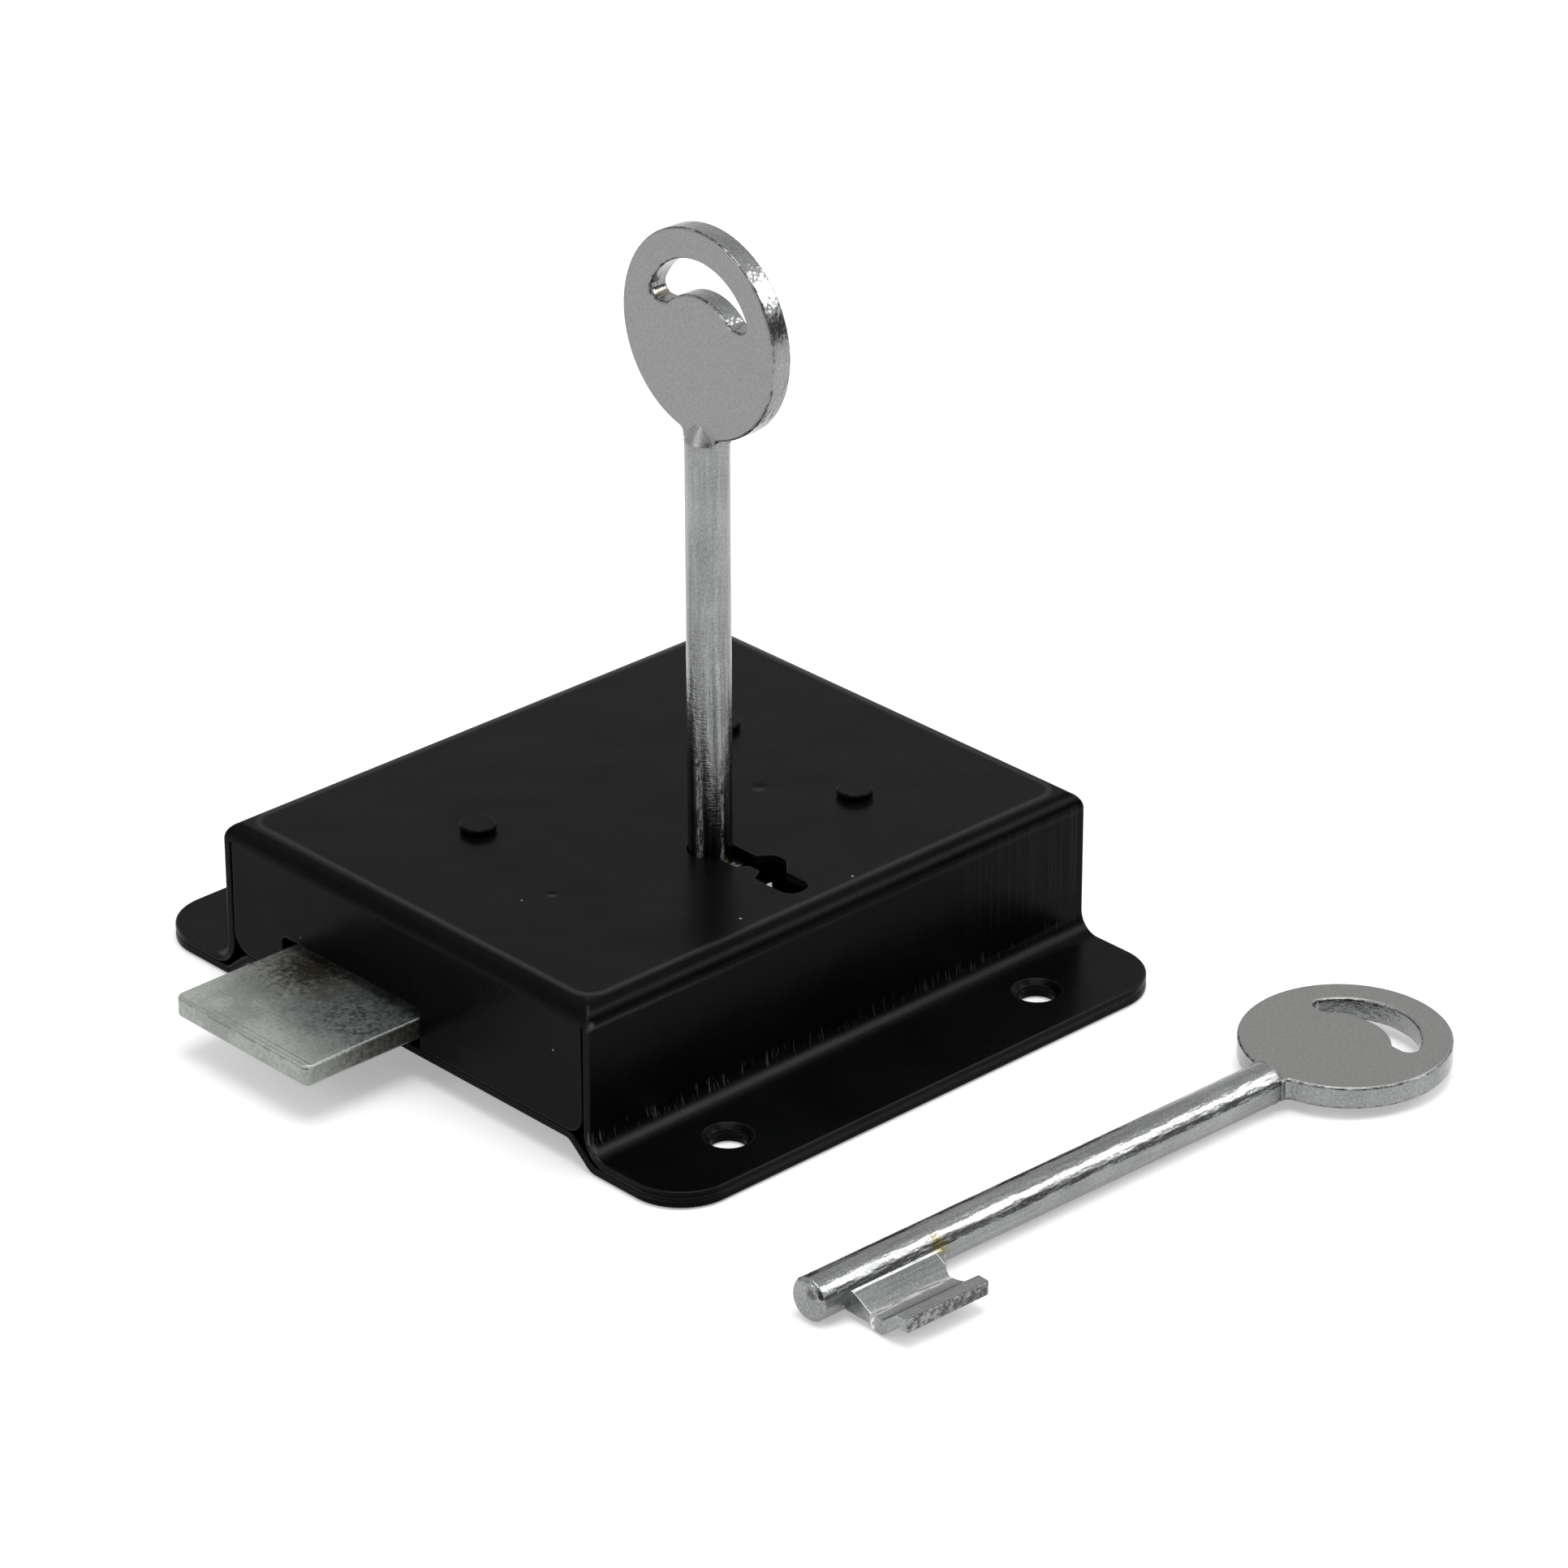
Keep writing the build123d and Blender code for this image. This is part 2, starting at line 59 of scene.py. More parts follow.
Socket = bpy.types.NodeSocket
Outputs = bpy.types.bpy_prop_collection
Node = bpy.types.Node
Tree = bpy.types.NodeTree
Material = bpy.types.Material
Piece = bpy.types.Object
Shape = bmesh.types.BMesh
Edge = bmesh.types.BMEdge
Colour = tuple[float, float, float, float]
Triple = tuple[float, float, float]
Span = tuple[float, float]
Spots = tuple[tuple[float, ...], ...]


class Body(Enum):
    """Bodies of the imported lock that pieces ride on."""

    CASE = "case"
    BOLT = "bolt"
    KEY = "key"
    SPARE_KEY = "spare_key"


class Slot(Enum):
    """Material slots."""

    BLACK_PAINT = "black_paint"
    BOLT_STEEL = "bolt_steel"
    NICKEL_PLATE = "nickel_plate"


class Graph:
    """Places and links the nodes of one material or node group."""

    def __init__(self, tree: Tree) -> None:
        """Keeps the tree that the nodes go into."""
        self.tree = tree

    def add(self, kind: str, **settings: object) -> Node:
        """Adds a node.

        Args:
            kind: The node's type name.
            **settings: Attributes to set on it.

        Returns:
            The new node.
        """
        node = self.tree.nodes.new(kind)
        for name, value in settings.items():
            setattr(node, name, value)
        return node

    def feed(self, socket: Socket, value: object) -> None:
        """Gives an input what it needs.

        Args:
            socket: The input.
            value: A socket to link into it, or its plain value.
        """
        if isinstance(value, Socket):
            self.tree.links.new(value, socket)
        else:
            socket.default_value = value

    def fill(self, node: Node, **values: object) -> Node:
        """Feeds a node's inputs by name.

        Args:
            node: The node.
            **values: Their values, with underscores for the spaces in their names.

        Returns:
            The node.
        """
        for name, value in values.items():
            self.feed(node.inputs[name.replace("_", " ")], value)
        return node

    def operate(self, kind: str, operation: str, values: tuple[object, ...]) -> Outputs:
        """Adds a node that works on its inputs in their order.

        Args:
            kind: The node's type name.
            operation: Its operation.
            values: Its inputs, sockets or plain values.

        Returns:
            Its outputs.
        """
        node = self.add(kind, operation=operation)
        for socket, value in zip(node.inputs, values):
            self.feed(socket, value)
        return node.outputs

    def math(self, operation: str, *values: object) -> Socket:
        """Adds a math node and gives its result."""
        return self.operate("ShaderNodeMath", operation, values)[0]

    def vector(self, operation: str, *values: object) -> Socket:
        """Adds a vector math node and gives its vector, or its number where it makes one."""
        outputs = self.operate("ShaderNodeVectorMath", operation, values)
        return outputs["Value" if operation in ("LENGTH", "DISTANCE", "DOT_PRODUCT") else "Vector"]

    def product(self, first: object, *others: object) -> Socket:
        """Multiplies numbers, one after another.

        Args:
            first: The first number.
            *others: The others.

        Returns:
            The result's socket.
        """
        for other in others:
            first = self.math("MULTIPLY", first, other)
        return first

    def inverse(self, value: object) -> Socket:
        """Takes a number from one."""
        return self.math("SUBTRACT", 1.0, value)

    def apart(self, value: object, middle: float) -> Socket:
        """Measures how far a number lies from a middle, either way."""
        return self.math("ABSOLUTE", self.math("SUBTRACT", value, middle))

    def over(self, value: object, level: float) -> Socket:
        """Masks where a number is over a level."""
        return self.math("GREATER_THAN", value, level)

    def step(self, value: object, low: float, high: float, start: float = 0.0, end: float = 1.0) -> Socket:
        """Adds a smooth step between low and high, with a start below it and an end above it."""
        node = self.add("ShaderNodeMapRange", interpolation_type="SMOOTHSTEP")
        return self.fill(node, Value=value, From_Min=low, From_Max=high, To_Min=start, To_Max=end).outputs[0]

    def fade(self, value: object, low: float, high: float) -> Socket:
        """Adds a smooth step down, from one to zero."""
        return self.step(value, low, high, 1.0, 0.0)

    def noise(self, vector: object, scale: float, detail: float = 2.0, roughness: float = 0.5) -> Socket:
        """Adds a noise: its waves in one unit, its octaves, and how much the fine ones weigh."""
        node = self.add("ShaderNodeTexNoise")
        return self.fill(node, Vector=vector, Scale=scale, Detail=detail, Roughness=roughness).outputs["Fac"]

    def stretch(self, vector: object, factors: Triple) -> Socket:
        """Multiplies each of a vector's three numbers by its own factor."""
        return self.vector("MULTIPLY", vector, factors)

    def split(self, vector: object) -> Outputs:
        """Gives a vector's numbers under the names X, Y and Z."""
        return self.fill(self.add("ShaderNodeSeparateXYZ"), Vector=vector).outputs

    def blend(self, mask: object, first: object, second: object, how: str = "MIX") -> Socket:
        """Mixes two colours.

        Args:
            mask: Share of the second colour.
            first: The first colour.
            second: The second colour.
            how: The blend's name.

        Returns:
            The mixed colour's socket.
        """
        node = self.add("ShaderNodeMix", data_type="RGBA", blend_type=how, clamp_factor=True)
        for place, value in ((0, mask), (6, first), (7, second)):
            self.feed(node.inputs[place], value)
        return node.outputs[2]

    def lay(self, under: object, over: object, mask: object, share: object) -> Socket:
        """Lays one colour over another, by a share of a mask."""
        return self.blend(self.math("MULTIPLY", mask, share), under, over)

    def shade(self, colour: object, factor: object) -> Socket:
        """Darkens or lightens a colour by a factor."""
        grey = self.fill(self.add("ShaderNodeCombineColor"), Red=factor, Green=factor, Blue=factor)
        return self.blend(1.0, colour, grey.outputs[0], "MULTIPLY")

    def bump(self, height: object, distance: float, **under: object) -> Socket:
        """Adds a bump, with the metres that a height of one stands for and the Normal of one under it."""
        node = self.add("ShaderNodeBump")
        return self.fill(node, Height=height, Distance=distance, Strength=1.0, **under).outputs["Normal"]


class Effects:
    """Node groups that several finishes share, each built once."""

    def __init__(self) -> None:
        """Builds the groups."""
        self.trees: dict[str, Tree] = {}
        self.build_spot()
        self.build_mottle()
        self.build_specks()
        self.build_streaks()
        self.build_ripple()

    def begin(self, name: str, inputs: dict[str, object]) -> tuple[Graph, list[Socket]]:
        """Starts a group.

        Args:
            name: The group's name.
            inputs: Value of each input by its name, a number or a triple.

        Returns:
            The group's graph and its input sockets, in the same order.
        """
        graph = Graph(bpy.data.node_groups.new(name, "ShaderNodeTree"))
        self.trees[name] = graph.tree
        for label, value in inputs.items():
            kind = "NodeSocketFloat" if isinstance(value, float) else "NodeSocketVector"
            socket = graph.tree.interface.new_socket(name=label, in_out="INPUT", socket_type=kind)
            socket.default_value = value
        return graph, list(graph.add("NodeGroupInput").outputs)[: len(inputs)]

    def end(self, graph: Graph, **outputs: Socket) -> None:
        """Ends a group.

        Args:
            graph: The group's graph.
            **outputs: Its outputs by name, all numbers.
        """
        for label in outputs:
            graph.tree.interface.new_socket(name=label, in_out="OUTPUT", socket_type="NodeSocketFloat")
        graph.fill(graph.add("NodeGroupOutput"), **outputs)

    def build_spot(self) -> None:
        """Builds a soft round or oval spot about a centre, with a ragged rim."""
        inputs = {"Vector": ORIGIN, "Centre": ORIGIN, "Reach": UNITS, "Softness": 0.5, "Raggedness": 0.0}
        graph, (place, centre, reach, softness, ragged) = self.begin("soft spot", inputs)
        away = graph.vector("DIVIDE", graph.vector("SUBTRACT", place, centre), reach)
        wander = graph.math("SUBTRACT", graph.noise(place, scale=1.1, detail=3.0, roughness=0.6), 0.5)
        distance = graph.math("ADD", graph.vector("LENGTH", away), graph.product(wander, ragged))
        self.end(graph, Mask=graph.fade(distance, graph.inverse(softness), 1.0))

    def build_mottle(self) -> None:
        """Builds cloudy variation from one coarse and one fine noise."""
        inputs = {"Vector": ORIGIN, "Coarse": 0.2, "Fine": 2.0, "Fine Share": 0.5}
        graph, (place, coarse, fine, share) = self.begin("mottle", inputs)
        clouds = graph.noise(place, coarse, detail=4.0, roughness=0.55)
        grain = graph.noise(place, fine, detail=3.0, roughness=0.6)
        rest = graph.product(clouds, graph.inverse(share))
        self.end(graph, Value=graph.math("MULTIPLY_ADD", grain, share, rest))

    def build_specks(self) -> None:
        """Builds a few tiny round specks, scattered at random."""
        inputs = {"Vector": ORIGIN, "Scale": 0.3, "Size": 0.1, "Share": 0.1}
        graph, (place, scale, size, share) = self.begin("specks", inputs)
        cells = graph.fill(graph.add("ShaderNodeTexVoronoi"), Vector=place, Scale=scale).outputs
        lot = graph.vector("DOT_PRODUCT", cells["Color"], (1.0, 0.0, 0.0))
        near = graph.math("LESS_THAN", cells["Distance"], size)
        self.end(graph, Mask=graph.product(near, graph.math("LESS_THAN", lot, share)))

    def build_streaks(self) -> None:
        """Builds thin streaks: a noise drawn out along one axis and cut to its peaks."""
        inputs = {"Vector": ORIGIN, "Stretch": UNITS, "Threshold": 0.6, "Softness": 0.1}
        graph, (place, stretch, threshold, softness) = self.begin("streaks", inputs)
        drawn = graph.noise(graph.stretch(place, stretch), scale=1.0, detail=3.0, roughness=0.6)
        high = graph.math("ADD", threshold, softness)
        self.end(graph, Mask=graph.step(drawn, threshold, high), Height=drawn)

    def build_ripple(self) -> None:
        """Builds the height of an uneven surface: a long swell with a fine grain on it."""
        inputs = {"Vector": ORIGIN, "Swell": UNITS, "Grain": 3.0, "Grain Share": 0.3}
        graph, (place, swell, grain, share) = self.begin("ripple", inputs)
        long = graph.noise(graph.stretch(place, swell), scale=1.0, detail=1.0)
        self.end(graph, Height=graph.math("MULTIPLY_ADD", graph.noise(place, grain), share, long))


class Finish(Graph):
    """Start of every finish: a material with its surface shader and its coordinates in millimetres."""

    def __init__(self, name: str, effects: Effects) -> None:
        """Makes the material and its shader.

        Args:
            name: The material's name.
            effects: The shared node groups.
        """
        self.effects = effects
        self.material = bpy.data.materials.new(name)
        self.material.use_nodes = True
        super().__init__(self.material.node_tree)
        self.tree.nodes.clear()
        self.shader = self.add("ShaderNodeBsdfPrincipled")
        self.fill(self.add("ShaderNodeOutputMaterial"), Surface=self.shader.outputs["BSDF"])
        place = self.add("ShaderNodeTexCoord").outputs["Object"]
        scaled = self.add("ShaderNodeMapping", vector_type="POINT")
        self.place = self.fill(scaled, Scale=(PER_METRE,) * 3, Vector=place).outputs["Vector"]

    def set(self, **values: object) -> None:
        """Feeds the shader's inputs, with underscores for the spaces in their names."""
        self.fill(self.shader, **values)

    def axis(self, name: str) -> Socket:
        """Gives one of the coordinates, X, Y or Z."""
        return self.split(self.place)[name]

    def grain(self, scale: float, detail: float, roughness: float, factors: Triple = UNITS) -> Socket:
        """Adds a noise at the finish's own coordinates, stretched by three factors."""
        return self.noise(self.stretch(self.place, factors), scale, detail, roughness)

    def effect(self, name: str, **inputs: object) -> Outputs:
        """Places a shared effect, at the finish's own coordinates unless others are given."""
        node = self.add("ShaderNodeGroup", node_tree=self.effects.trees[name])
        return self.fill(node, **{"Vector": self.place, **inputs}).outputs

    def mottle(self, coarse: float, fine: float, share: float) -> Socket:
        """Adds clouds: waves of the coarse and the fine noise in a millimetre, and the fine one's share."""
        return self.effect("mottle", Coarse=coarse, Fine=fine, Fine_Share=share)["Value"]

    def about(self, cloud: Socket, middle: float, spread: float) -> Socket:
        """Lets a number vary about its middle with the clouds."""
        return self.math("MULTIPLY_ADD", cloud, spread, middle - spread / 2)

    def spots(self, places: Spots, softness: float, ragged: float) -> Socket:
        """Joins soft spots into one mask.

        Args:
            places: Centre and reach of each spot; one reach stands for all three ways.
            softness: How soft their rims are.
            ragged: How ragged they are.

        Returns:
            The mask.
        """
        total = 0.0
        for x, y, z, *reach in places:
            ways = (reach * 3)[:3]
            rim = {"Softness": softness, "Raggedness": ragged}
            spot = self.effect("soft spot", Centre=(x, y, z), Reach=ways, **rim)
            total = self.math("MAXIMUM", total, spot["Mask"])
        return total


@dataclass(frozen=True)
class Coat:
    """A finish as a recipe: its fields are its colours and measures, and dress mixes them."""

    def make(self, name: str, effects: Effects) -> Material:
        """Makes the material.

        Args:
            name: Its name.
            effects: The shared node groups.

        Returns:
            The material.
        """
        mix = Finish(name, effects)
        self.dress(mix)
        return mix.material

    def dress(self, mix: Finish) -> None:
        """Mixes the finish, in each recipe its own way."""
        raise NotImplementedError


@dataclass(frozen=True)
class SatinPaint(Coat):
    """Black stoved paint on pressed sheet, with painted highlights on its ridges, press lines and near
    corner.
    """

    base: Colour = (0.0013, 0.0015, 0.0015, 1.0)
    faded: Colour = (0.0024, 0.0027, 0.0026, 1.0)
    # painted highlight: the lighter colour of the ridge lines and of the press lines on the walls
    painted_highlight: Colour = (0.034, 0.035, 0.033, 1.0)
    # scuffs, lightened partly as painted highlight; also the colour of the painted bright spots
    scuff_and_highlight: Colour = (0.085, 0.09, 0.09, 1.0)
    speck: Colour = (0.35, 0.34, 0.3, 1.0)
    roughness: float = 0.27
    cloudy_roughness: float = 0.12
    gloss: float = 0.036
    burnished_gloss: float = 1.8
    burnished_roughness: float = 0.05
    half_length: float = 45.2
    half_width: float = 36.8
    bend: float = 2.6
    top: float = 23.6
    ridge_corner: float = 3.0
    ridge_width: float = 0.8
    ridge_depth: float = 0.7
    outer_width: float = 0.55
    outer_fade: Span = (12.0, 44.0)
    foot_place: float = 37.65
    foot_level: float = 3.3
    foot_band: Span = (0.3, 1.5)
    foot_fade: Span = (-30.0, 44.0)
    faintest: float = 0.3
    nick_rise: Span = (3.7, 4.3)
    nick_fall: Span = (5.2, 6.4)
    nick_fade: Span = (-12.0, 18.0)
    nick_faintest: float = 0.45
    line_fade: Span = (-43.0, -14.0)
    line_rise: Span = (6.0, 12.0)
    drawn_share: float = 0.3
    ridge_share: float = 0.55
    outer_share: float = 0.8
    highlight_spot_share: float = 0.7
    nick_share: float = 0.6
    speck_share: float = 0.35
    chip_share: float = 0.8
    swell_height: float = 0.14
    relief_height: float = 0.05
    nick_height: float = 0.5
    dent_depth: float = 2.5
    dents: Spots = ((-13.9, 5.6, 23.6, 1.4), (27.0, 9.5, 23.6, 0.9))
    # painted highlights: bright spots at the near corner of the top bend and at the near end of the foot bend
    highlight_spots: Spots = ((44.5, 36.7, 21.4, 0.8), (44.9, 37.6, 4.0, 0.9))
    chips: Spots = (
        (-5.2, 33.0, 23.6, 0.22),
        (13.6, 31.5, 23.6, 0.22),
        (45.2, 30.0, 15.5, 0.16),
        (31.0, 8.0, 23.6, 0.14),
    )

    def on_sides(self, mix: Finish, depth: float) -> Socket:
        """Masks what lies on the two long walls, to a depth under their faces."""
        return mix.over(mix.math("ABSOLUTE", mix.axis("Y")), self.half_width - depth)

    def inner_ridge(self, mix: Finish) -> Socket:
        """The line where the flat top turns into its bend, round at its corners; lightened as a painted
        highlight and raised in the bump.

        Args:
            mix: The material.

        Returns:
            The line's mask.
        """
        inset = self.bend + self.ridge_corner
        half = (self.half_length - inset, self.half_width - inset, 0.0)
        flat = mix.stretch(mix.vector("ABSOLUTE", mix.place), (1.0, 1.0, 0.0))
        beyond = mix.vector("MAXIMUM", mix.vector("SUBTRACT", flat, half), ORIGIN)
        off = mix.apart(mix.vector("LENGTH", beyond), self.ridge_corner)
        line = mix.fade(off, 0.0, self.ridge_width)
        return mix.product(line, mix.over(mix.axis("Z"), self.top - self.ridge_depth))

    def outer_ridge(self, mix: Finish) -> Socket:
        """The line where the top's bend runs out into the walls, a painted highlight that fades to the rear.

        Args:
            mix: The material.

        Returns:
            The line's mask.
        """
        line = mix.fade(mix.apart(mix.axis("Z"), self.top - self.bend), 0.0, self.outer_width)
        fading = mix.step(mix.axis("X"), *self.outer_fade, self.faintest)
        return mix.product(line, self.on_sides(mix, depth=0.3), fading)

    def burnish(self, mix: Finish) -> Socket:
        """The band along the foot bends that the press tool rubbed smooth.

        Args:
            mix: The material.

        Returns:
            The band's mask.
        """
        beside = mix.math("SUBTRACT", mix.math("ABSOLUTE", mix.axis("Y")), self.foot_place)
        above = mix.math("SUBTRACT", mix.axis("Z"), self.foot_level)
        off = mix.math("SQRT", mix.math("MULTIPLY_ADD", beside, beside, mix.product(above, above)))
        fading = mix.step(mix.axis("X"), *self.foot_fade, self.faintest)
        return mix.product(mix.fade(off, *self.foot_band), fading)

    def nicks(self, mix: Finish) -> Socket:
        """Short upright scuffs above the foot bend of the near wall, lightened partly as a painted highlight
        where they catch the light.

        Args:
            mix: The material.

        Returns:
            The scuffs' mask.
        """
        marks = mix.effect("streaks", Stretch=(3.0, 0.05, 0.28), Threshold=0.57, Softness=0.08)["Mask"]
        height = mix.axis("Z")
        band = mix.product(mix.step(height, *self.nick_rise), mix.fade(height, *self.nick_fall))
        wall = mix.over(mix.axis("Y"), self.half_width - 0.4)
        fading = mix.step(mix.axis("X"), *self.nick_fade, self.nick_faintest)
        return mix.product(marks, band, mix.product(wall, fading))

    def drawn_lines(self, mix: Finish) -> Socket:
        """Light upright lines on the long walls, strongest at the rear end: painted reflections of the
        press's fine upright wrinkles.

        Args:
            mix: The material.

        Returns:
            The lines' mask.
        """
        lines = mix.effect("streaks", Stretch=(2.1, 0.02, 0.018), Threshold=0.44, Softness=0.24)["Mask"]
        where = mix.product(self.on_sides(mix, depth=0.2), mix.fade(mix.axis("X"), *self.line_fade))
        return mix.product(lines, where, mix.step(mix.axis("Z"), *self.line_rise))

    def dress(self, mix: Finish) -> None:
        """Mixes the finish.

        Args:
            mix: The material.
        """
        cloud = mix.mottle(coarse=0.06, fine=1.4, share=0.22)
        ridge, outer, nicks = self.inner_ridge(mix), self.outer_ridge(mix), self.nicks(mix)
        chips = mix.spots(self.chips, softness=0.3, ragged=0.5)
        specks = mix.effect("specks", Scale=0.09, Size=0.018, Share=0.16)["Mask"]
        colour = mix.blend(mix.step(cloud, 0.35, 0.65), self.base, self.faded)
        # painted highlights on the press lines, ridges and bright spots, then the scuffs with their painted
        # highlight
        for mask, share, over in (
            (self.drawn_lines(mix), self.drawn_share, self.painted_highlight),
            (ridge, self.ridge_share, self.painted_highlight),
            (outer, self.outer_share, self.painted_highlight),
            (mix.spots(self.highlight_spots, softness=0.8, ragged=0.4), self.highlight_spot_share, self.scuff_and_highlight),
            (nicks, self.nick_share, self.scuff_and_highlight),
        ):
            colour = mix.lay(colour, over, mask, share)
        flecks = (mix.product(specks, self.speck_share), mix.product(chips, self.chip_share))
        colour = mix.blend(mix.math("MAXIMUM", *flecks), colour, self.speck)
        glint = self.burnish(mix)
        rough = mix.about(cloud, self.roughness, self.cloudy_roughness)
        rough = mix.math("MULTIPLY_ADD", glint, self.burnished_roughness, rough)
        gloss = mix.math("MULTIPLY_ADD", glint, self.gloss * self.burnished_gloss, self.gloss)
        mix.set(Base_Color=colour, Roughness=rough, Specular_IOR_Level=gloss)
        swell = mix.effect("ripple", Swell=(0.09, 0.09, 0.09), Grain=1.3, Grain_Share=0.02)["Height"]
        under = mix.bump(swell, self.swell_height * MM)
        dented = mix.product(mix.spots(self.dents, softness=0.9, ragged=0.3), self.dent_depth)
        raised = mix.math("MULTIPLY_ADD", nicks, self.nick_height, mix.math("MAXIMUM", ridge, outer))
        relief = mix.math("SUBTRACT", raised, dented)
        mix.set(Normal=mix.bump(relief, self.relief_height * MM, Normal=under))


@dataclass(frozen=True)
class RolledSteel(Coat):
    """Dull zinc plated steel, spotted and stained where it runs into the case, with painted shade along its
    flank.
    """

    light: Colour = (0.40, 0.42, 0.39, 1.0)
    dull: Colour = (0.26, 0.28, 0.26, 1.0)
    blue: Colour = (0.04, 0.048, 0.05, 1.0)
    stain: Colour = (0.03, 0.026, 0.017, 1.0)
    dirt: Colour = (0.06, 0.062, 0.06, 1.0)
    metal: float = 0.55
    roughness: float = 0.44
    cloudy_roughness: float = 0.2
    tip_x: float = 64.0
    flank_y: float = 2.8
    veil_reach: Span = (52.0, 63.6)
    veil_side: Span = (-18.0, -4.0)
    veil_least: float = 0.3
    bloom_share: float = 0.4
    flank_shade_reach: Span = (48.0, 62.0)
    nose_line_level: float = 8.58
    nose_line_share: float = 0.7
    pit_share: float = 0.45
    streak_share: float = 0.6
    blot: tuple[float, ...] = (46.8, -17.2, 9.0, 8.5, 10.5, 4.0)
    streak: tuple[float, ...] = (49.8, -12.0, 9.0, 2.0, 5.0, 2.0)

    def stained(self, mix: Finish) -> Socket:
        """The brown stain at the back corner, where grease crept out of the case."""
        streak = mix.product(mix.spots((self.streak,), softness=0.9, ragged=1.0), self.streak_share)
        return mix.math("MAXIMUM", mix.spots((self.blot,), softness=0.9, ragged=1.4), streak)

    def nose_dark_line(self, mix: Finish) -> Socket:
        """A dark broken line along the nose's upper edge.

        Args:
            mix: The material.

        Returns:
            The line's mask.
        """
        line = mix.fade(mix.apart(mix.axis("Z"), self.nose_line_level), 0.05, 0.3)
        broken = mix.step(mix.grain(0.9, detail=3.0, roughness=0.6), 0.4, 0.6)
        return mix.product(line, broken, mix.over(mix.axis("X"), self.tip_x - 0.5))

    def dress(self, mix: Finish) -> None:
        """Mixes the finish.

        Args:
            mix: The material.
        """
        cloud = mix.mottle(coarse=0.16, fine=1.9, share=0.42)
        colour = mix.blend(mix.step(cloud, 0.38, 0.62), self.dull, self.light)
        near = mix.fade(mix.axis("X"), *self.veil_reach)
        right = mix.step(mix.axis("Y"), *self.veil_side)
        sideways = mix.math("MULTIPLY_ADD", right, 1.0 - self.veil_least, self.veil_least)
        bloom = mix.step(mix.grain(1.5, detail=5.0, roughness=0.72), 0.42, 0.6)
        share = mix.math("MULTIPLY_ADD", bloom, self.bloom_share, 1.0 - self.bloom_share)
        colour = mix.lay(colour, self.blue, mix.product(near, sideways), share)
        # painted shade: the flank darkened in the stain's brown, most next to the case wall, over its real
        # brown spots
        flank = mix.over(mix.axis("Y"), self.flank_y - 0.1)
        flank_shade = mix.product(mix.step(mix.axis("X"), *self.flank_shade_reach, 0.9, 0.1), share)
        colour = mix.lay(colour, self.stain, flank, flank_shade)
        pitted = mix.step(mix.grain(3.1, detail=2.0, roughness=0.6), 0.63, 0.72, 0.0, self.pit_share)
        colour = mix.blend(pitted, colour, self.dirt)
        colour = mix.blend(self.stained(mix), colour, self.stain)
        colour = mix.lay(colour, self.dirt, self.nose_dark_line(mix), self.nose_line_share)
        height = mix.effect("ripple", Swell=(0.35, 0.2, 0.35), Grain=3.2, Grain_Share=0.35)["Height"]
        mix.set(
            Base_Color=colour,
            Metallic=self.metal,
            Roughness=mix.about(cloud, self.roughness, self.cloudy_roughness),
            Normal=mix.bump(height, 0.06 * MM),
        )


@dataclass(frozen=True)
class ShearedEdge(Coat):
    """Bright bare edge left by the press tool, shown only at the flank's front end as a painted highlight and
    darkened elsewhere as painted shade.
    """

    base: Colour = (0.62, 0.63, 0.61, 1.0)
    dark: Colour = (0.38, 0.39, 0.37, 1.0)
    edge_shade: Colour = (0.27, 0.275, 0.26, 1.0)
    highlight_reach: Span = (53.0, 57.0)
    flank_y: float = 2.8
    flank_depth: float = 0.25

    def dress(self, mix: Finish) -> None:
        """Mixes the finish.

        Args:
            mix: The material.
        """
        marks = mix.effect("streaks", Stretch=(2.2, 2.2, 0.3), Threshold=0.45, Softness=0.2)
        bare = mix.blend(marks["Mask"], self.dark, self.base)
        flank = mix.over(mix.axis("Y"), self.flank_y - self.flank_depth)
        # painted highlight at the flank's front end; elsewhere the edge takes the painted shade
        bright = mix.step(mix.axis("X"), *self.highlight_reach)
        mix.set(
            Base_Color=mix.lay(self.edge_shade, bare, flank, bright),
            Metallic=1.0,
            Roughness=mix.math("MULTIPLY_ADD", marks["Height"], 0.2, 0.2),
            Normal=mix.bump(marks["Height"], 0.1 * MM),
        )


@dataclass(frozen=True)
class KeyFrame:
    """Where one key stands: on its own axes the tip is at zero, the bit towards +Y and the bow above."""

    tip: Triple
    lying: bool = False
    turn: float = 0.0

    def coordinates(self, mix: Finish) -> Socket:
        """Turns the model's coordinates into the key's own.

        Args:
            mix: The material.

        Returns:
            The coordinates, in millimetres.
        """
        moved = mix.vector("SUBTRACT", mix.place, self.tip)
        if not self.lying:
            return moved
        turned = mix.add("ShaderNodeVectorRotate", rotation_type="Z_AXIS")
        mix.fill(turned, Vector=moved, Angle=-math.radians(self.turn))
        parts = mix.split(turned.outputs[0])
        joined = mix.add("ShaderNodeCombineXYZ")
        mix.fill(joined, X=parts["Z"], Y=parts["Y"], Z=mix.product(parts["X"], -1.0))
        return joined.outputs["Vector"]


@dataclass(frozen=True)
class KeyMasks:
    """Masks of the places on a key that look unlike the rest."""

    bow: Socket
    face: Socket
    crease: Socket
    rim: Socket
    end: Socket
    fold_highlight: Socket
    pits: Socket
    glints: object


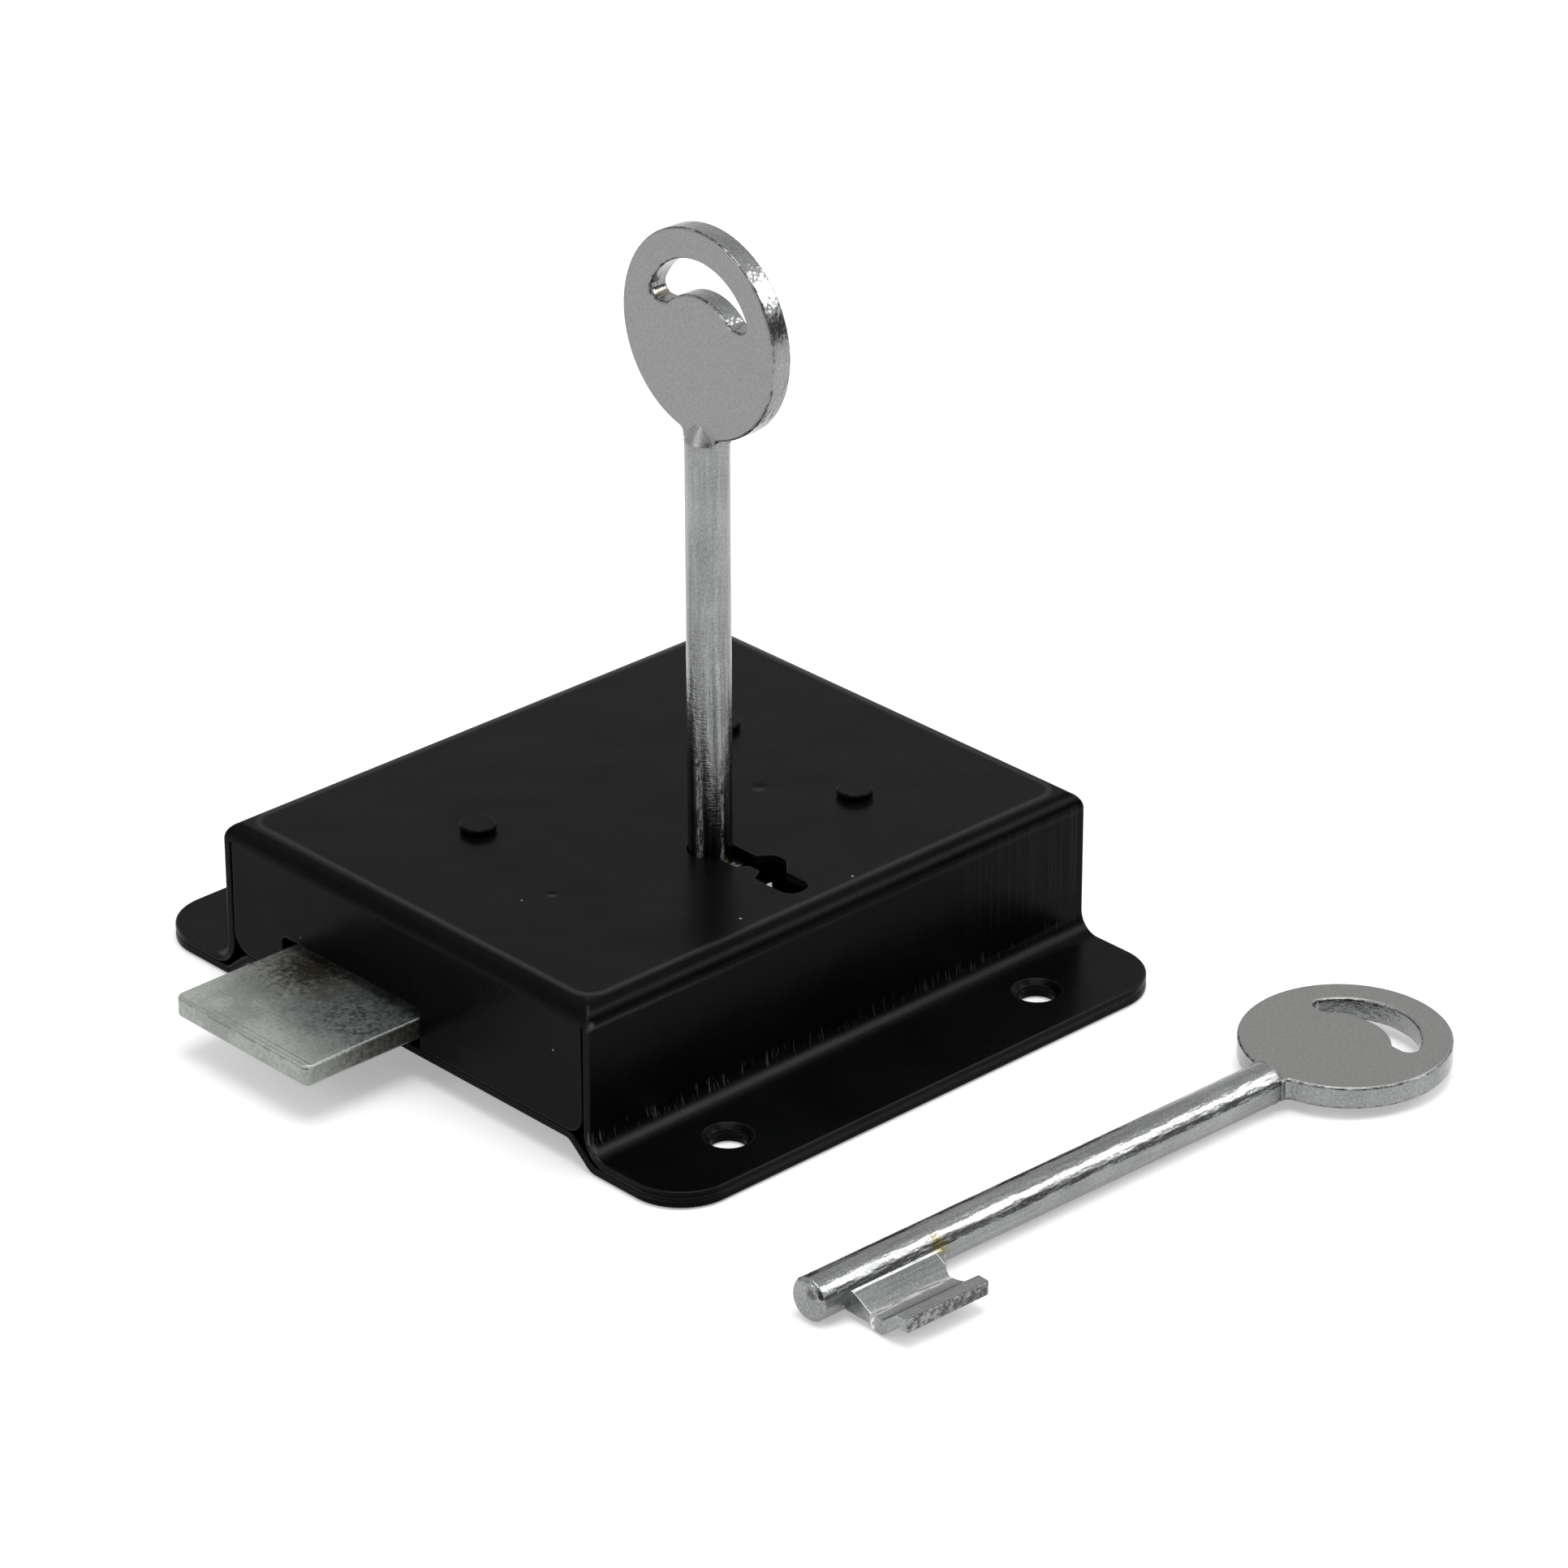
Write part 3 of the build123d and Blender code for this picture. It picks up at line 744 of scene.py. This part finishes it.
@dataclass(frozen=True)
class NickelPlate(Coat):
    """Plated key: satin on the bow's faces, polished and pitted on its rim, lumpy on the shank."""

    frame: KeyFrame
    bright: Colour = (0.30, 0.31, 0.305, 1.0)
    satin: Colour = (0.264, 0.268, 0.264, 1.0)
    grey: Colour = (0.205, 0.212, 0.208, 1.0)
    tint: Colour = (0.21, 0.165, 0.06, 1.0)
    # dark of the pits, blots and rough rim, and painted shade in the crease where the bow's faces meet the
    # rim
    pit_and_shade: Colour = (0.03, 0.03, 0.028, 1.0)
    # bare metal of the bit's end, and painted highlight along the fold
    bare_and_highlight: Colour = (0.85, 0.85, 0.84, 1.0)
    # painted glints on the standing shank
    glint: Colour = (0.42, 0.44, 0.45, 1.0)
    polish: float = 0.16
    satin_roughness: float = 0.24
    bow_polish: float = -0.03
    relief_height: float = 0.11
    bow_start: Span = (79.5, 82.0)
    cover_level: float = 22.0
    streak_rise: Span = (8.0, 34.0)
    streak_least: float = 0.2
    # painted reflection of the black case on the shank's low part
    dark_reflection_rise: float = 24.0
    dark_reflection_tone: float = 0.42
    glint_fall: Span = (12.0, 24.0)
    glint_share: float = 0.7
    bit_end: float = 18.7
    bit_radius: float = 13.3
    fold_place: float = 7.0
    fold_reach: Span = (0.1, 0.75)
    face_level: float = 1.6
    shank_radius: float = 3.0
    glints: tuple[Span, ...] = ((19.0, 0.75), (79.0, 0.45))
    stains: Spots = (
        (0.9, 2.9, 20.1, 2.8, 2.1, 1.7),
        (0.0, -8.2, 99.4, 2.2, 1.2, 1.0),
        (0.0, 6.6, 99.6, 2.2, 0.9, 0.8),
    )
    blots: Spots = (
        (1.7, 0.8, 81.5, 0.6, 2.6, 0.3),
        (1.3, 0.9, 0.0, 1.0, 1.3, 0.7),
    )

    def painted_glint_lines(self, mix: Finish) -> Socket:
        """Bright broken lines along the standing shank: painted glints for the streaks that catch the light.

        Args:
            mix: The material.

        Returns:
            The lines' mask.
        """
        total = 0.0
        flat = mix.stretch(mix.place, (1.0, 1.0, 0.0))
        for angle, reach in self.glints:
            around = math.radians(angle)
            centre = (self.shank_radius * math.cos(around), self.shank_radius * math.sin(around), 0.0)
            line = mix.fade(mix.vector("DISTANCE", flat, centre), reach * 0.3, reach)
            total = mix.math("MAXIMUM", total, line)
        lengthwise = mix.grain(1.0, detail=3.0, roughness=0.65, factors=(3.2, 3.2, 0.8))
        low = mix.fade(mix.axis("Z"), *(self.cover_level + rise for rise in self.glint_fall))
        return mix.product(total, mix.step(lengthwise, 0.36, 0.62), low)

    def masks(self, mix: Finish) -> KeyMasks:
        """Finds the places on the key.

        Args:
            mix: The material.

        Returns:
            Their masks.
        """
        across, out, along = (mix.axis(name) for name in "XYZ")
        depth = mix.math("ABSOLUTE", across)
        bow = mix.step(along, *self.bow_start)
        face = mix.product(mix.step(depth, self.face_level - 0.2, self.face_level - 0.04), bow)
        outside = mix.fade(depth, self.face_level - 0.14, self.face_level - 0.02)
        # the crease where the bow's faces meet the rim, darkened as painted shade
        lip = mix.product(mix.step(depth, self.face_level - 0.5, self.face_level - 0.24), outside)
        ragged = mix.step(mix.grain(0.9, detail=4.0, roughness=0.65), 0.42, 0.6)
        beyond = mix.step(out, self.bit_radius - 0.35, self.bit_radius - 0.1)
        rim = mix.product(beyond, mix.math("LESS_THAN", along, self.bit_end + 1.0))
        end = mix.fade(mix.apart(along, self.bit_end), 0.02, 0.08)
        # painted highlight along the bit's fold, broken by streaks
        fold_highlight = mix.fade(mix.apart(out, self.fold_place), *self.fold_reach)
        fold_highlight = mix.product(fold_highlight, mix.math("LESS_THAN", along, self.bit_end))
        worn = mix.effect("streaks", Stretch=(1.5, 2.6, 0.3), Threshold=0.38, Softness=0.2)["Mask"]
        return KeyMasks(
            bow=bow,
            face=face,
            crease=mix.product(lip, bow, ragged),
            rim=mix.product(rim, mix.step(mix.grain(1.3, detail=4.0, roughness=0.7), 0.4, 0.58)),
            end=mix.product(end, mix.over(out, self.shank_radius + 0.4)),
            fold_highlight=mix.product(fold_highlight, worn),
            pits=mix.effect("specks", Scale=0.35, Size=0.05, Share=0.14)["Mask"],
            glints=0.0 if self.frame.lying else self.painted_glint_lines(mix),
        )

    def streaked(self, mix: Finish, colour: Socket, masks: KeyMasks) -> Socket:
        """Streaks the shank, darkens its low part as a painted reflection of the black case, and lays painted
        glints on it.

        Args:
            mix: The material.
            colour: The plating's colour.
            masks: The places on the key.

        Returns:
            The colour with its streaks.
        """
        height = mix.axis("Z")
        lines = mix.grain(1.0, detail=3.0, roughness=0.6, factors=(1.7, 1.7, 0.05))
        dragged = mix.shade(colour, mix.step(lines, 0.38, 0.6, 0.4, 1.4))
        share = self.streak_least
        if not self.frame.lying:
            ends = (self.cover_level + rise for rise in self.streak_rise)
            share = mix.step(height, *ends, 1.0, self.streak_least)
        colour = mix.lay(colour, dragged, mix.inverse(masks.bow), share)
        if self.frame.lying:
            return colour
        # painted reflection: the shank darkened just above the case, where it mirrors the black top
        dark_reflection_top = self.cover_level + self.dark_reflection_rise
        colour = mix.shade(colour, mix.step(height, self.cover_level, dark_reflection_top, self.dark_reflection_tone))
        return mix.lay(colour, self.glint, masks.glints, self.glint_share)

    def relief(self, mix: Finish, masks: KeyMasks) -> Socket:
        """Height of the surface: beads and turned lines, calm on the bow's faces, with creases and pits.

        Args:
            mix: The material.
            masks: The places on the key.

        Returns:
            The height's socket.
        """
        drawn = mix.stretch(mix.place, (1.0, 1.0, 0.5))
        bumpy = mix.effect("ripple", Vector=drawn, Swell=(1.3, 1.3, 0.5), Grain=2.8, Grain_Share=0.3)
        turned = mix.grain(1.0, detail=1.0, roughness=0.5, factors=(0.5, 0.5, 6.5))
        lines = mix.product(turned, mix.step(masks.bow, 0.0, 1.0, 0.2, 0.0))
        beads = mix.math("ADD", bumpy["Height"], lines)
        sides = mix.step(mix.axis("Y"), self.shank_radius, self.shank_radius + 0.5, 1.0, 0.35)
        level = mix.math("MAXIMUM", masks.bow, sides)
        calm = mix.product(beads, level, mix.step(masks.face, 0.0, 1.0, 1.0, 0.12))
        lowered = mix.math("MULTIPLY_ADD", masks.crease, 0.2, mix.product(masks.pits, 0.2))
        return mix.math("SUBTRACT", calm, lowered)

    def dress(self, mix: Finish) -> None:
        """Mixes the finish in the key's own coordinates.

        Args:
            mix: The material.
        """
        mix.place = self.frame.coordinates(mix)
        cloud = mix.mottle(coarse=0.12, fine=3.4, share=0.6)
        masks = self.masks(mix)
        clouded = mix.blend(mix.step(cloud, 0.34, 0.66), self.grey, self.bright)
        colour = mix.blend(masks.face, clouded, self.satin)
        colour = mix.shade(colour, mix.step(mix.grain(3.0, detail=4.0, roughness=0.75), 0.3, 0.7, 0.86, 1.12))
        colour = self.streaked(mix, colour, masks)
        # painted shade in the crease and painted highlight along the fold, with the real stains, blots and
        # pits
        for mask, share, over in (
            (masks.crease, 0.8, self.pit_and_shade),
            (mix.spots(self.stains, softness=0.8, ragged=1.3), 0.8, self.tint),
            (mix.spots(self.blots, softness=0.8, ragged=1.8), 0.75, self.pit_and_shade),
            (masks.rim, 0.8, self.pit_and_shade),
            (masks.end, 0.9, self.bare_and_highlight),
            (masks.fold_highlight, 0.85, self.bare_and_highlight),
            (masks.pits, 0.6, self.pit_and_shade),
        ):
            colour = mix.lay(colour, over, mask, share)
        # the bit's bare end and the painted glints lose their metal
        unplated_and_glint = mix.product(mix.math("MAXIMUM", masks.end, masks.glints), 0.8)
        rough = mix.math("MULTIPLY_ADD", masks.face, self.satin_roughness, self.polish)
        rough = mix.math("MULTIPLY_ADD", masks.bow, self.bow_polish, rough)
        mix.set(
            Base_Color=colour,
            Metallic=mix.inverse(unplated_and_glint),
            Roughness=mix.math("MULTIPLY_ADD", cloud, 0.12, rough),
            Normal=mix.bump(self.relief(mix, masks), self.relief_height * MM),
        )


@dataclass(frozen=True)
class PlainSteel(Coat):
    """Oiled steel of the pieces inside the case."""

    base: Colour
    worn: Colour
    roughness: float
    cloudy_roughness: float = 0.2

    def dress(self, mix: Finish) -> None:
        """Mixes the finish.

        Args:
            mix: The material.
        """
        cloud = mix.mottle(coarse=0.4, fine=3.0, share=0.5)
        mix.set(
            Base_Color=mix.blend(mix.step(cloud, 0.35, 0.65), self.base, self.worn),
            Metallic=1.0,
            Roughness=mix.about(cloud, self.roughness, self.cloudy_roughness),
            Normal=mix.bump(cloud, 0.03 * MM),
        )


def linked(name: str, shape: Shape, materials: list[Material]) -> Piece:
    """Turns a shape into an object of the scene.

    Args:
        name: The object's name.
        shape: Its shape, which is freed.
        materials: Its materials.

    Returns:
        The new object.
    """
    mesh = bpy.data.meshes.new(name)
    shape.to_mesh(mesh)
    shape.free()
    for material in materials:
        mesh.materials.append(material)
    made = bpy.data.objects.new(name, mesh)
    bpy.context.scene.collection.objects.link(made)
    return made


@dataclass(frozen=True)
class EasedCopy:
    """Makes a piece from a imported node: its facets merged and its sharp edges eased."""

    node: str
    ease: float
    rim_ease: float = 0.0
    rim_start: float = 0.0
    rim_across: float = 20.0
    segments: int = 3
    crease_angle: float = 28.0
    merge: float = 0.002
    flatness: float = 0.4
    side_share: float = 0.42
    tight_share: float = 0.04
    parallel: float = 0.8

    def room(self, edge: Edge) -> float:
        """Measures how far an edge may be eased before its faces run out.

        Args:
            edge: The edge.

        Returns:
            The room that it has, in millimetres.
        """
        along = (edge.verts[1].co - edge.verts[0].co).normalized()
        room = self.ease + self.rim_ease
        for face in edge.link_faces:
            for other in face.edges:
                if other is edge or not set(other.verts) & set(edge.verts):
                    continue
                across = (other.verts[1].co - other.verts[0].co) / MM
                if abs(across.normalized().dot(along)) < self.parallel:
                    room = min(room, across.length * self.side_share)
        return room

    def chains(self, shape: Shape) -> list[list[Edge]]:
        """Gathers the outward sharp edges into chains that hang together.

        Args:
            shape: The piece's mesh.

        Returns:
            The chains.
        """
        crease = math.radians(self.crease_angle)
        loose = {edge for edge in shape.edges if edge.is_manifold and edge.calc_face_angle_signed() > crease}
        found = []
        while loose:
            waiting = [min(loose, key=lambda edge: edge.index)]
            loose.discard(waiting[0])
            chain = []
            while waiting:
                edge = waiting.pop()
                chain.append(edge)
                for vert in edge.verts:
                    for other in vert.link_edges:
                        if other in loose:
                            loose.discard(other)
                            waiting.append(other)
            found.append(chain)
        return found

    def width(self, chain: list[Edge]) -> float:
        """Chooses one easing for a whole chain, in millimetres, so that it runs even.

        Args:
            chain: The chain's edges.

        Returns:
            Its easing.
        """
        reach = max(abs(edge.verts[0].co.y) for edge in chain) / MM
        across = max(edge.verts[0].co.x for edge in chain) - min(edge.verts[0].co.x for edge in chain)
        outline = self.rim_ease and reach > self.rim_start and across > self.rim_across * MM
        rooms = sorted(self.room(edge) for edge in chain)
        return min(self.rim_ease if outline else self.ease, rooms[int(len(rooms) * self.tight_share)])

    def weigh(self, shape: Shape) -> None:
        """Marks the creases, and weighs each chain of edges for its easing.

        Args:
            shape: The piece's mesh.
        """
        weight = shape.edges.layers.float.new("bevel_weight_edge")
        for edge in shape.edges:
            edge.smooth = not (edge.is_manifold and edge.calc_face_angle() > math.radians(self.crease_angle))
        for chain in self.chains(shape):
            share = self.width(chain) / self.widest
            for edge in chain:
                edge[weight] = share
                edge.smooth = True

    @property
    def widest(self) -> float:
        """The widest easing on the piece, in millimetres."""
        return max(self.ease, self.rim_ease)

    def build(self, piece_name: str, materials: list[Material], eased_slot: int = 0) -> Piece:
        """Builds the piece.

        Args:
            piece_name: Its name.
            materials: Its materials.
            eased_slot: Which of them the eased edges take.

        Returns:
            The new object.
        """
        shape = bmesh.new()
        shape.from_mesh(bpy.data.objects[self.node].data)
        bmesh.ops.remove_doubles(shape, verts=shape.verts[:], dist=self.merge * MM)
        bmesh.ops.dissolve_limit(
            shape, angle_limit=math.radians(self.flatness), verts=shape.verts[:], edges=shape.edges[:]
        )
        shape.edges.index_update()
        self.weigh(shape)
        for face in shape.faces:
            face.material_index = 0
            face.smooth = True
        piece = linked(piece_name, shape, materials)
        bevel = piece.modifiers.new("eased edges", "BEVEL")
        bevel.width = self.widest * MM
        bevel.segments = self.segments
        bevel.limit_method = "WEIGHT"
        bevel.use_clamp_overlap = False
        bevel.material = eased_slot if eased_slot else -1
        piece.modifiers.new("even shading", "WEIGHTED_NORMAL").keep_sharp = True
        return piece


@dataclass
class SubPart:
    """A part of the lock that is dressed by itself: the effects that it uses and the pieces that it makes."""

    effects: Effects
    pieces: list[Piece] = field(default_factory=list, init=False)

    def build(self) -> list[Piece]:
        """Dresses the part and gives its pieces."""
        self.dress()
        return self.pieces

    def take(self, piece: Piece, node: str, body: Body, slot: Slot) -> None:
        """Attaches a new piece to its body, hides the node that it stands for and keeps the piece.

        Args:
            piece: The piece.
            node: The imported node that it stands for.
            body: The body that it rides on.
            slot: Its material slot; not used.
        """
        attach(piece, body.value)
        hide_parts(node)
        self.pieces.append(piece)


@dataclass
class PaintedCase(SubPart):
    """The pressed cap and back plate with their riveted pillars."""

    sheets: tuple[str, ...] = ("case_cap", "back_plate")
    pillars: tuple[str, ...] = ("front_pillar", "rear_pillar", "lever_pillar")
    sheet_ease: float = 0.14
    flange_ease: float = 0.3
    flange_start: float = 50.0
    rivet_ease: float = 0.07
    paint: SatinPaint = SatinPaint()
    edge_paint: SatinPaint = SatinPaint(
        base=(0.004, 0.0043, 0.0042, 1.0), faded=(0.009, 0.0094, 0.009, 1.0), gloss=0.07
    )

    def dress(self) -> None:
        """Builds and dresses the pieces."""
        paint = self.paint.make("black paint", self.effects)
        edge = self.edge_paint.make("black paint on edges", self.effects)
        for node in self.sheets:
            copy = EasedCopy(node, self.sheet_ease, self.flange_ease, self.flange_start)
            piece = copy.build(f"{node}_painted", [paint, edge], eased_slot=1)
            self.take(piece, node, Body.CASE, Slot.BLACK_PAINT)
        for node in self.pillars:
            piece = EasedCopy(node, self.rivet_ease).build(f"{node}_painted", [paint])
            self.take(piece, node, Body.CASE, Slot.BLACK_PAINT)


@dataclass
class SlidingBolt(SubPart):
    """The bolt with its sheared edges."""

    ease: float = 0.14

    def dress(self) -> None:
        """Builds and dresses the bolt."""
        steel = RolledSteel().make("bolt steel", self.effects)
        edge = ShearedEdge().make("sheared edge", self.effects)
        bolt = EasedCopy("bolt", self.ease).build("bolt_plated", [steel, edge], eased_slot=1)
        self.take(bolt, "bolt", Body.BOLT, Slot.BOLT_STEEL)


@dataclass
class PlatedKey(SubPart):
    """One key, standing in the lock or lying beside it."""

    node: str
    body: Body
    finish: NickelPlate
    ease: float = 0.12
    crease_angle: float = 32.0

    def dress(self) -> None:
        """Builds and dresses the key."""
        plate = self.finish.make(f"{self.node} plate", self.effects)
        copy = EasedCopy(self.node, self.ease, crease_angle=self.crease_angle)
        self.take(copy.build(f"{self.node}_plated", [plate]), self.node, self.body, Slot.NICKEL_PLATE)


@dataclass
class LockWorks(SubPart):
    """The levers, springs, washers and sleeves inside the case, dressed where they lie."""

    oiled: tuple[str, ...] = (
        "bolt_stump",
        "front_washer",
        "rear_washer",
        "front_sleeve",
        "rear_sleeve",
        "lever_foot_sleeve",
        "upper_lever_washer",
        "lever_head_sleeve",
        "lower_lever",
        "upper_lever",
    )
    sprung: tuple[str, ...] = ("lower_lever_spring", "upper_lever_spring")
    steel: PlainSteel = PlainSteel((0.24, 0.24, 0.23, 1.0), (0.36, 0.36, 0.34, 1.0), 0.38)
    blued: PlainSteel = PlainSteel((0.09, 0.10, 0.13, 1.0), (0.16, 0.17, 0.20, 1.0), 0.3)

    def dress(self) -> None:
        """Gives the nodes their finishes."""
        steel = self.steel.make("inner steel", self.effects)
        blued = self.blued.make("spring steel", self.effects)
        for names, material in ((self.oiled, steel), (self.sprung, blued)):
            for name in names:
                mesh = bpy.data.objects[name].data
                if mesh.materials:
                    mesh.materials[0] = material
                else:
                    mesh.materials.append(material)
        self.pieces.extend(bpy.data.objects[name] for name in self.oiled + self.sprung)


@dataclass
class Studio:
    """Pale floor, soft lights and the camera."""

    effects: Effects
    floor_reach: float = 3.0
    floor_level: float = -0.0002
    floor_colour: Colour = (0.8, 0.8, 0.8, 1.0)
    floor_glow: float = 0.35
    world_light: float = 0.4
    camera_place: Triple = (0.532604, 0.592821, 0.432770)
    azimuth: float = 46.815
    elevation: float = 26.998
    roll: float = -0.157
    lens: float = 152.39
    sensor: float = 36.0
    lamps: tuple[tuple[str, Triple, float, float], ...] = (
        ("overhead softbox", (0.1, 0.2, 1.5), 1.0, 14.0),
        ("back softbox", (-0.98, 0.79, 0.985), 0.62, 6.4),
        ("front softbox", (1.4, -0.32, 0.85), 0.45, 3.2),
    )
    card_distance: float = 2.5
    card_low: float = 0.06
    card_tone: float = 0.5
    card_facet: float = 6.0
    cards: tuple[Colour, ...] = (
        (-42.0, 66.0, 2.1, 0.6),
        (46.0, 60.0, 2.1, 0.05),
        (113.0, 66.0, 0.8, 0.06),
        (228.0, 76.0, 3.6, 0.63),
    )

    def build(self) -> list[Piece]:
        """Builds the set.

        Returns:
            The floor and the grey cards.
        """
        self.light()
        self.aim()
        return [self.floor(), *(self.card(*entry) for entry in self.cards)]

    def card(self, azimuth: float, spread: float, height: float, tone: float) -> Piece:
        """Builds a curved grey card that stands round the set, out of every picture, for the metal to mirror.

        Args:
            azimuth: Middle of the card, in degrees.
            spread: Degrees that it covers.
            height: Its upper edge, in metres.
            tone: Its grey.

        Returns:
            The card's object.
        """
        start = math.radians(azimuth - spread / 2)
        foot = Vector((math.cos(start), math.sin(start), 0.0)) * self.card_distance
        shape = bmesh.new()
        low = shape.verts.new((foot.x, foot.y, self.card_low))
        high = shape.verts.new((foot.x, foot.y, height))
        bmesh.ops.spin(
            shape,
            geom=[low, high, shape.edges.new((low, high))],
            cent=ORIGIN,
            axis=(0.0, 0.0, 1.0),
            angle=math.radians(spread),
            steps=max(2, int(spread / self.card_facet)),
        )
        bmesh.ops.recalc_face_normals(shape, faces=shape.faces[:])
        name = f"card_{int(azimuth) % 360}"
        finish = Finish(name, self.effects)
        grey = (tone * self.card_tone,) * 3 + (1.0,)
        finish.set(Base_Color=grey, Roughness=0.9, Specular_IOR_Level=0.0)
        finish.set(Emission_Color=WHITE, Emission_Strength=tone)
        card = linked(name, shape, [finish.material])
        card.visible_camera = False
        card.visible_shadow = False
        return card

    def visible(self, graph: Graph) -> Socket:
        """Masks the rays that show the background: straight, mirrored and passed ones.

        Args:
            graph: The graph that the mask goes into.

        Returns:
            The mask.
        """
        path = graph.add("ShaderNodeLightPath")
        seen = graph.math("MAXIMUM", path.outputs["Is Camera Ray"], path.outputs["Is Glossy Ray"])
        return graph.math("MAXIMUM", seen, path.outputs["Is Transmission Ray"])

    def floor(self) -> Piece:
        """Builds the floor.

        Returns:
            The floor's object.
        """
        shape = bmesh.new()
        bmesh.ops.create_grid(shape, x_segments=8, y_segments=8, size=self.floor_reach)
        bmesh.ops.translate(shape, verts=shape.verts[:], vec=(0.0, 0.0, self.floor_level))
        finish = Finish("pale floor", self.effects)
        glow = finish.product(self.visible(finish), self.floor_glow)
        finish.set(Base_Color=self.floor_colour, Roughness=0.8, Specular_IOR_Level=0.1)
        finish.set(Emission_Color=WHITE, Emission_Strength=glow)
        floor = linked("floor", shape, [finish.material])
        return floor

    def light(self) -> None:
        """Lights the set with a plain world and its softboxes."""
        world = bpy.data.worlds.new("studio")
        bpy.context.scene.world = world
        world.use_nodes = True
        world.node_tree.nodes.clear()
        graph = Graph(world.node_tree)
        strength = graph.step(self.visible(graph), 0.0, 1.0, self.world_light)
        back = graph.fill(graph.add("ShaderNodeBackground"), Color=WHITE, Strength=strength)
        graph.fill(graph.add("ShaderNodeOutputWorld"), Surface=back.outputs[0])
        for name, place, size, power in self.lamps:
            lamp = bpy.data.lights.new(name, "AREA")
            lamp.shape = "SQUARE"
            lamp.size = size
            lamp.energy = power
            holder = bpy.data.objects.new(name, lamp)
            holder.location = place
            holder.rotation_euler = (-Vector(place)).to_track_quat("-Z", "Y").to_euler()
            bpy.context.scene.collection.objects.link(holder)

    def aim(self) -> None:
        """Places the camera at the photograph's angle."""
        around, above, tilt = (math.radians(angle) for angle in (self.azimuth, self.elevation, self.roll))
        level = math.cos(above)
        back = Vector((level * math.cos(around), level * math.sin(around), math.sin(above)))
        right = Vector((-math.sin(around), math.cos(around), 0.0))
        up = back.cross(right)
        side = right * math.cos(tilt) + up * math.sin(tilt)
        top = up * math.cos(tilt) - right * math.sin(tilt)
        view = bpy.data.cameras.new("camera")
        view.lens = self.lens
        view.sensor_width = self.sensor
        view.clip_start = 0.01
        holder = bpy.data.objects.new("camera", view)
        columns = Matrix((side, top, back)).transposed().to_4x4()
        holder.matrix_world = Matrix.Translation(self.camera_place) @ columns
        bpy.context.scene.collection.objects.link(holder)
        bpy.context.scene.camera = holder
        bpy.context.scene.view_settings.view_transform = "Standard"


def main() -> None:
    """Builds the lock's looks in order."""
    logging.basicConfig(level=logging.INFO, format="%(message)s")
    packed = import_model()
    LOG.info("packed nodes: %d", len(packed["nodes"]))
    effects = Effects()
    standing = KeyFrame(tip=(2.9, 14.1, 2.1))
    lying = KeyFrame(tip=(49.9, 82.3, 3.08), lying=True, turn=-1.3)
    # painted shade: the spare key gets a darker copy of the same plating for how it lies
    shaded_spare_plate = NickelPlate(lying, satin=(0.252, 0.256, 0.247, 1.0))
    stages = (
        PaintedCase(effects),
        SlidingBolt(effects),
        PlatedKey(effects, "key", Body.KEY, NickelPlate(standing)),
        PlatedKey(effects, "spare_key", Body.SPARE_KEY, shaded_spare_plate),
        LockWorks(effects),
        Studio(effects),
    )
    for stage in stages:
        for piece in stage.build():
            LOG.info("%s: %s, %d faces", type(stage).__name__, piece.name, len(piece.data.polygons))


if __name__ == "__main__":
    main()
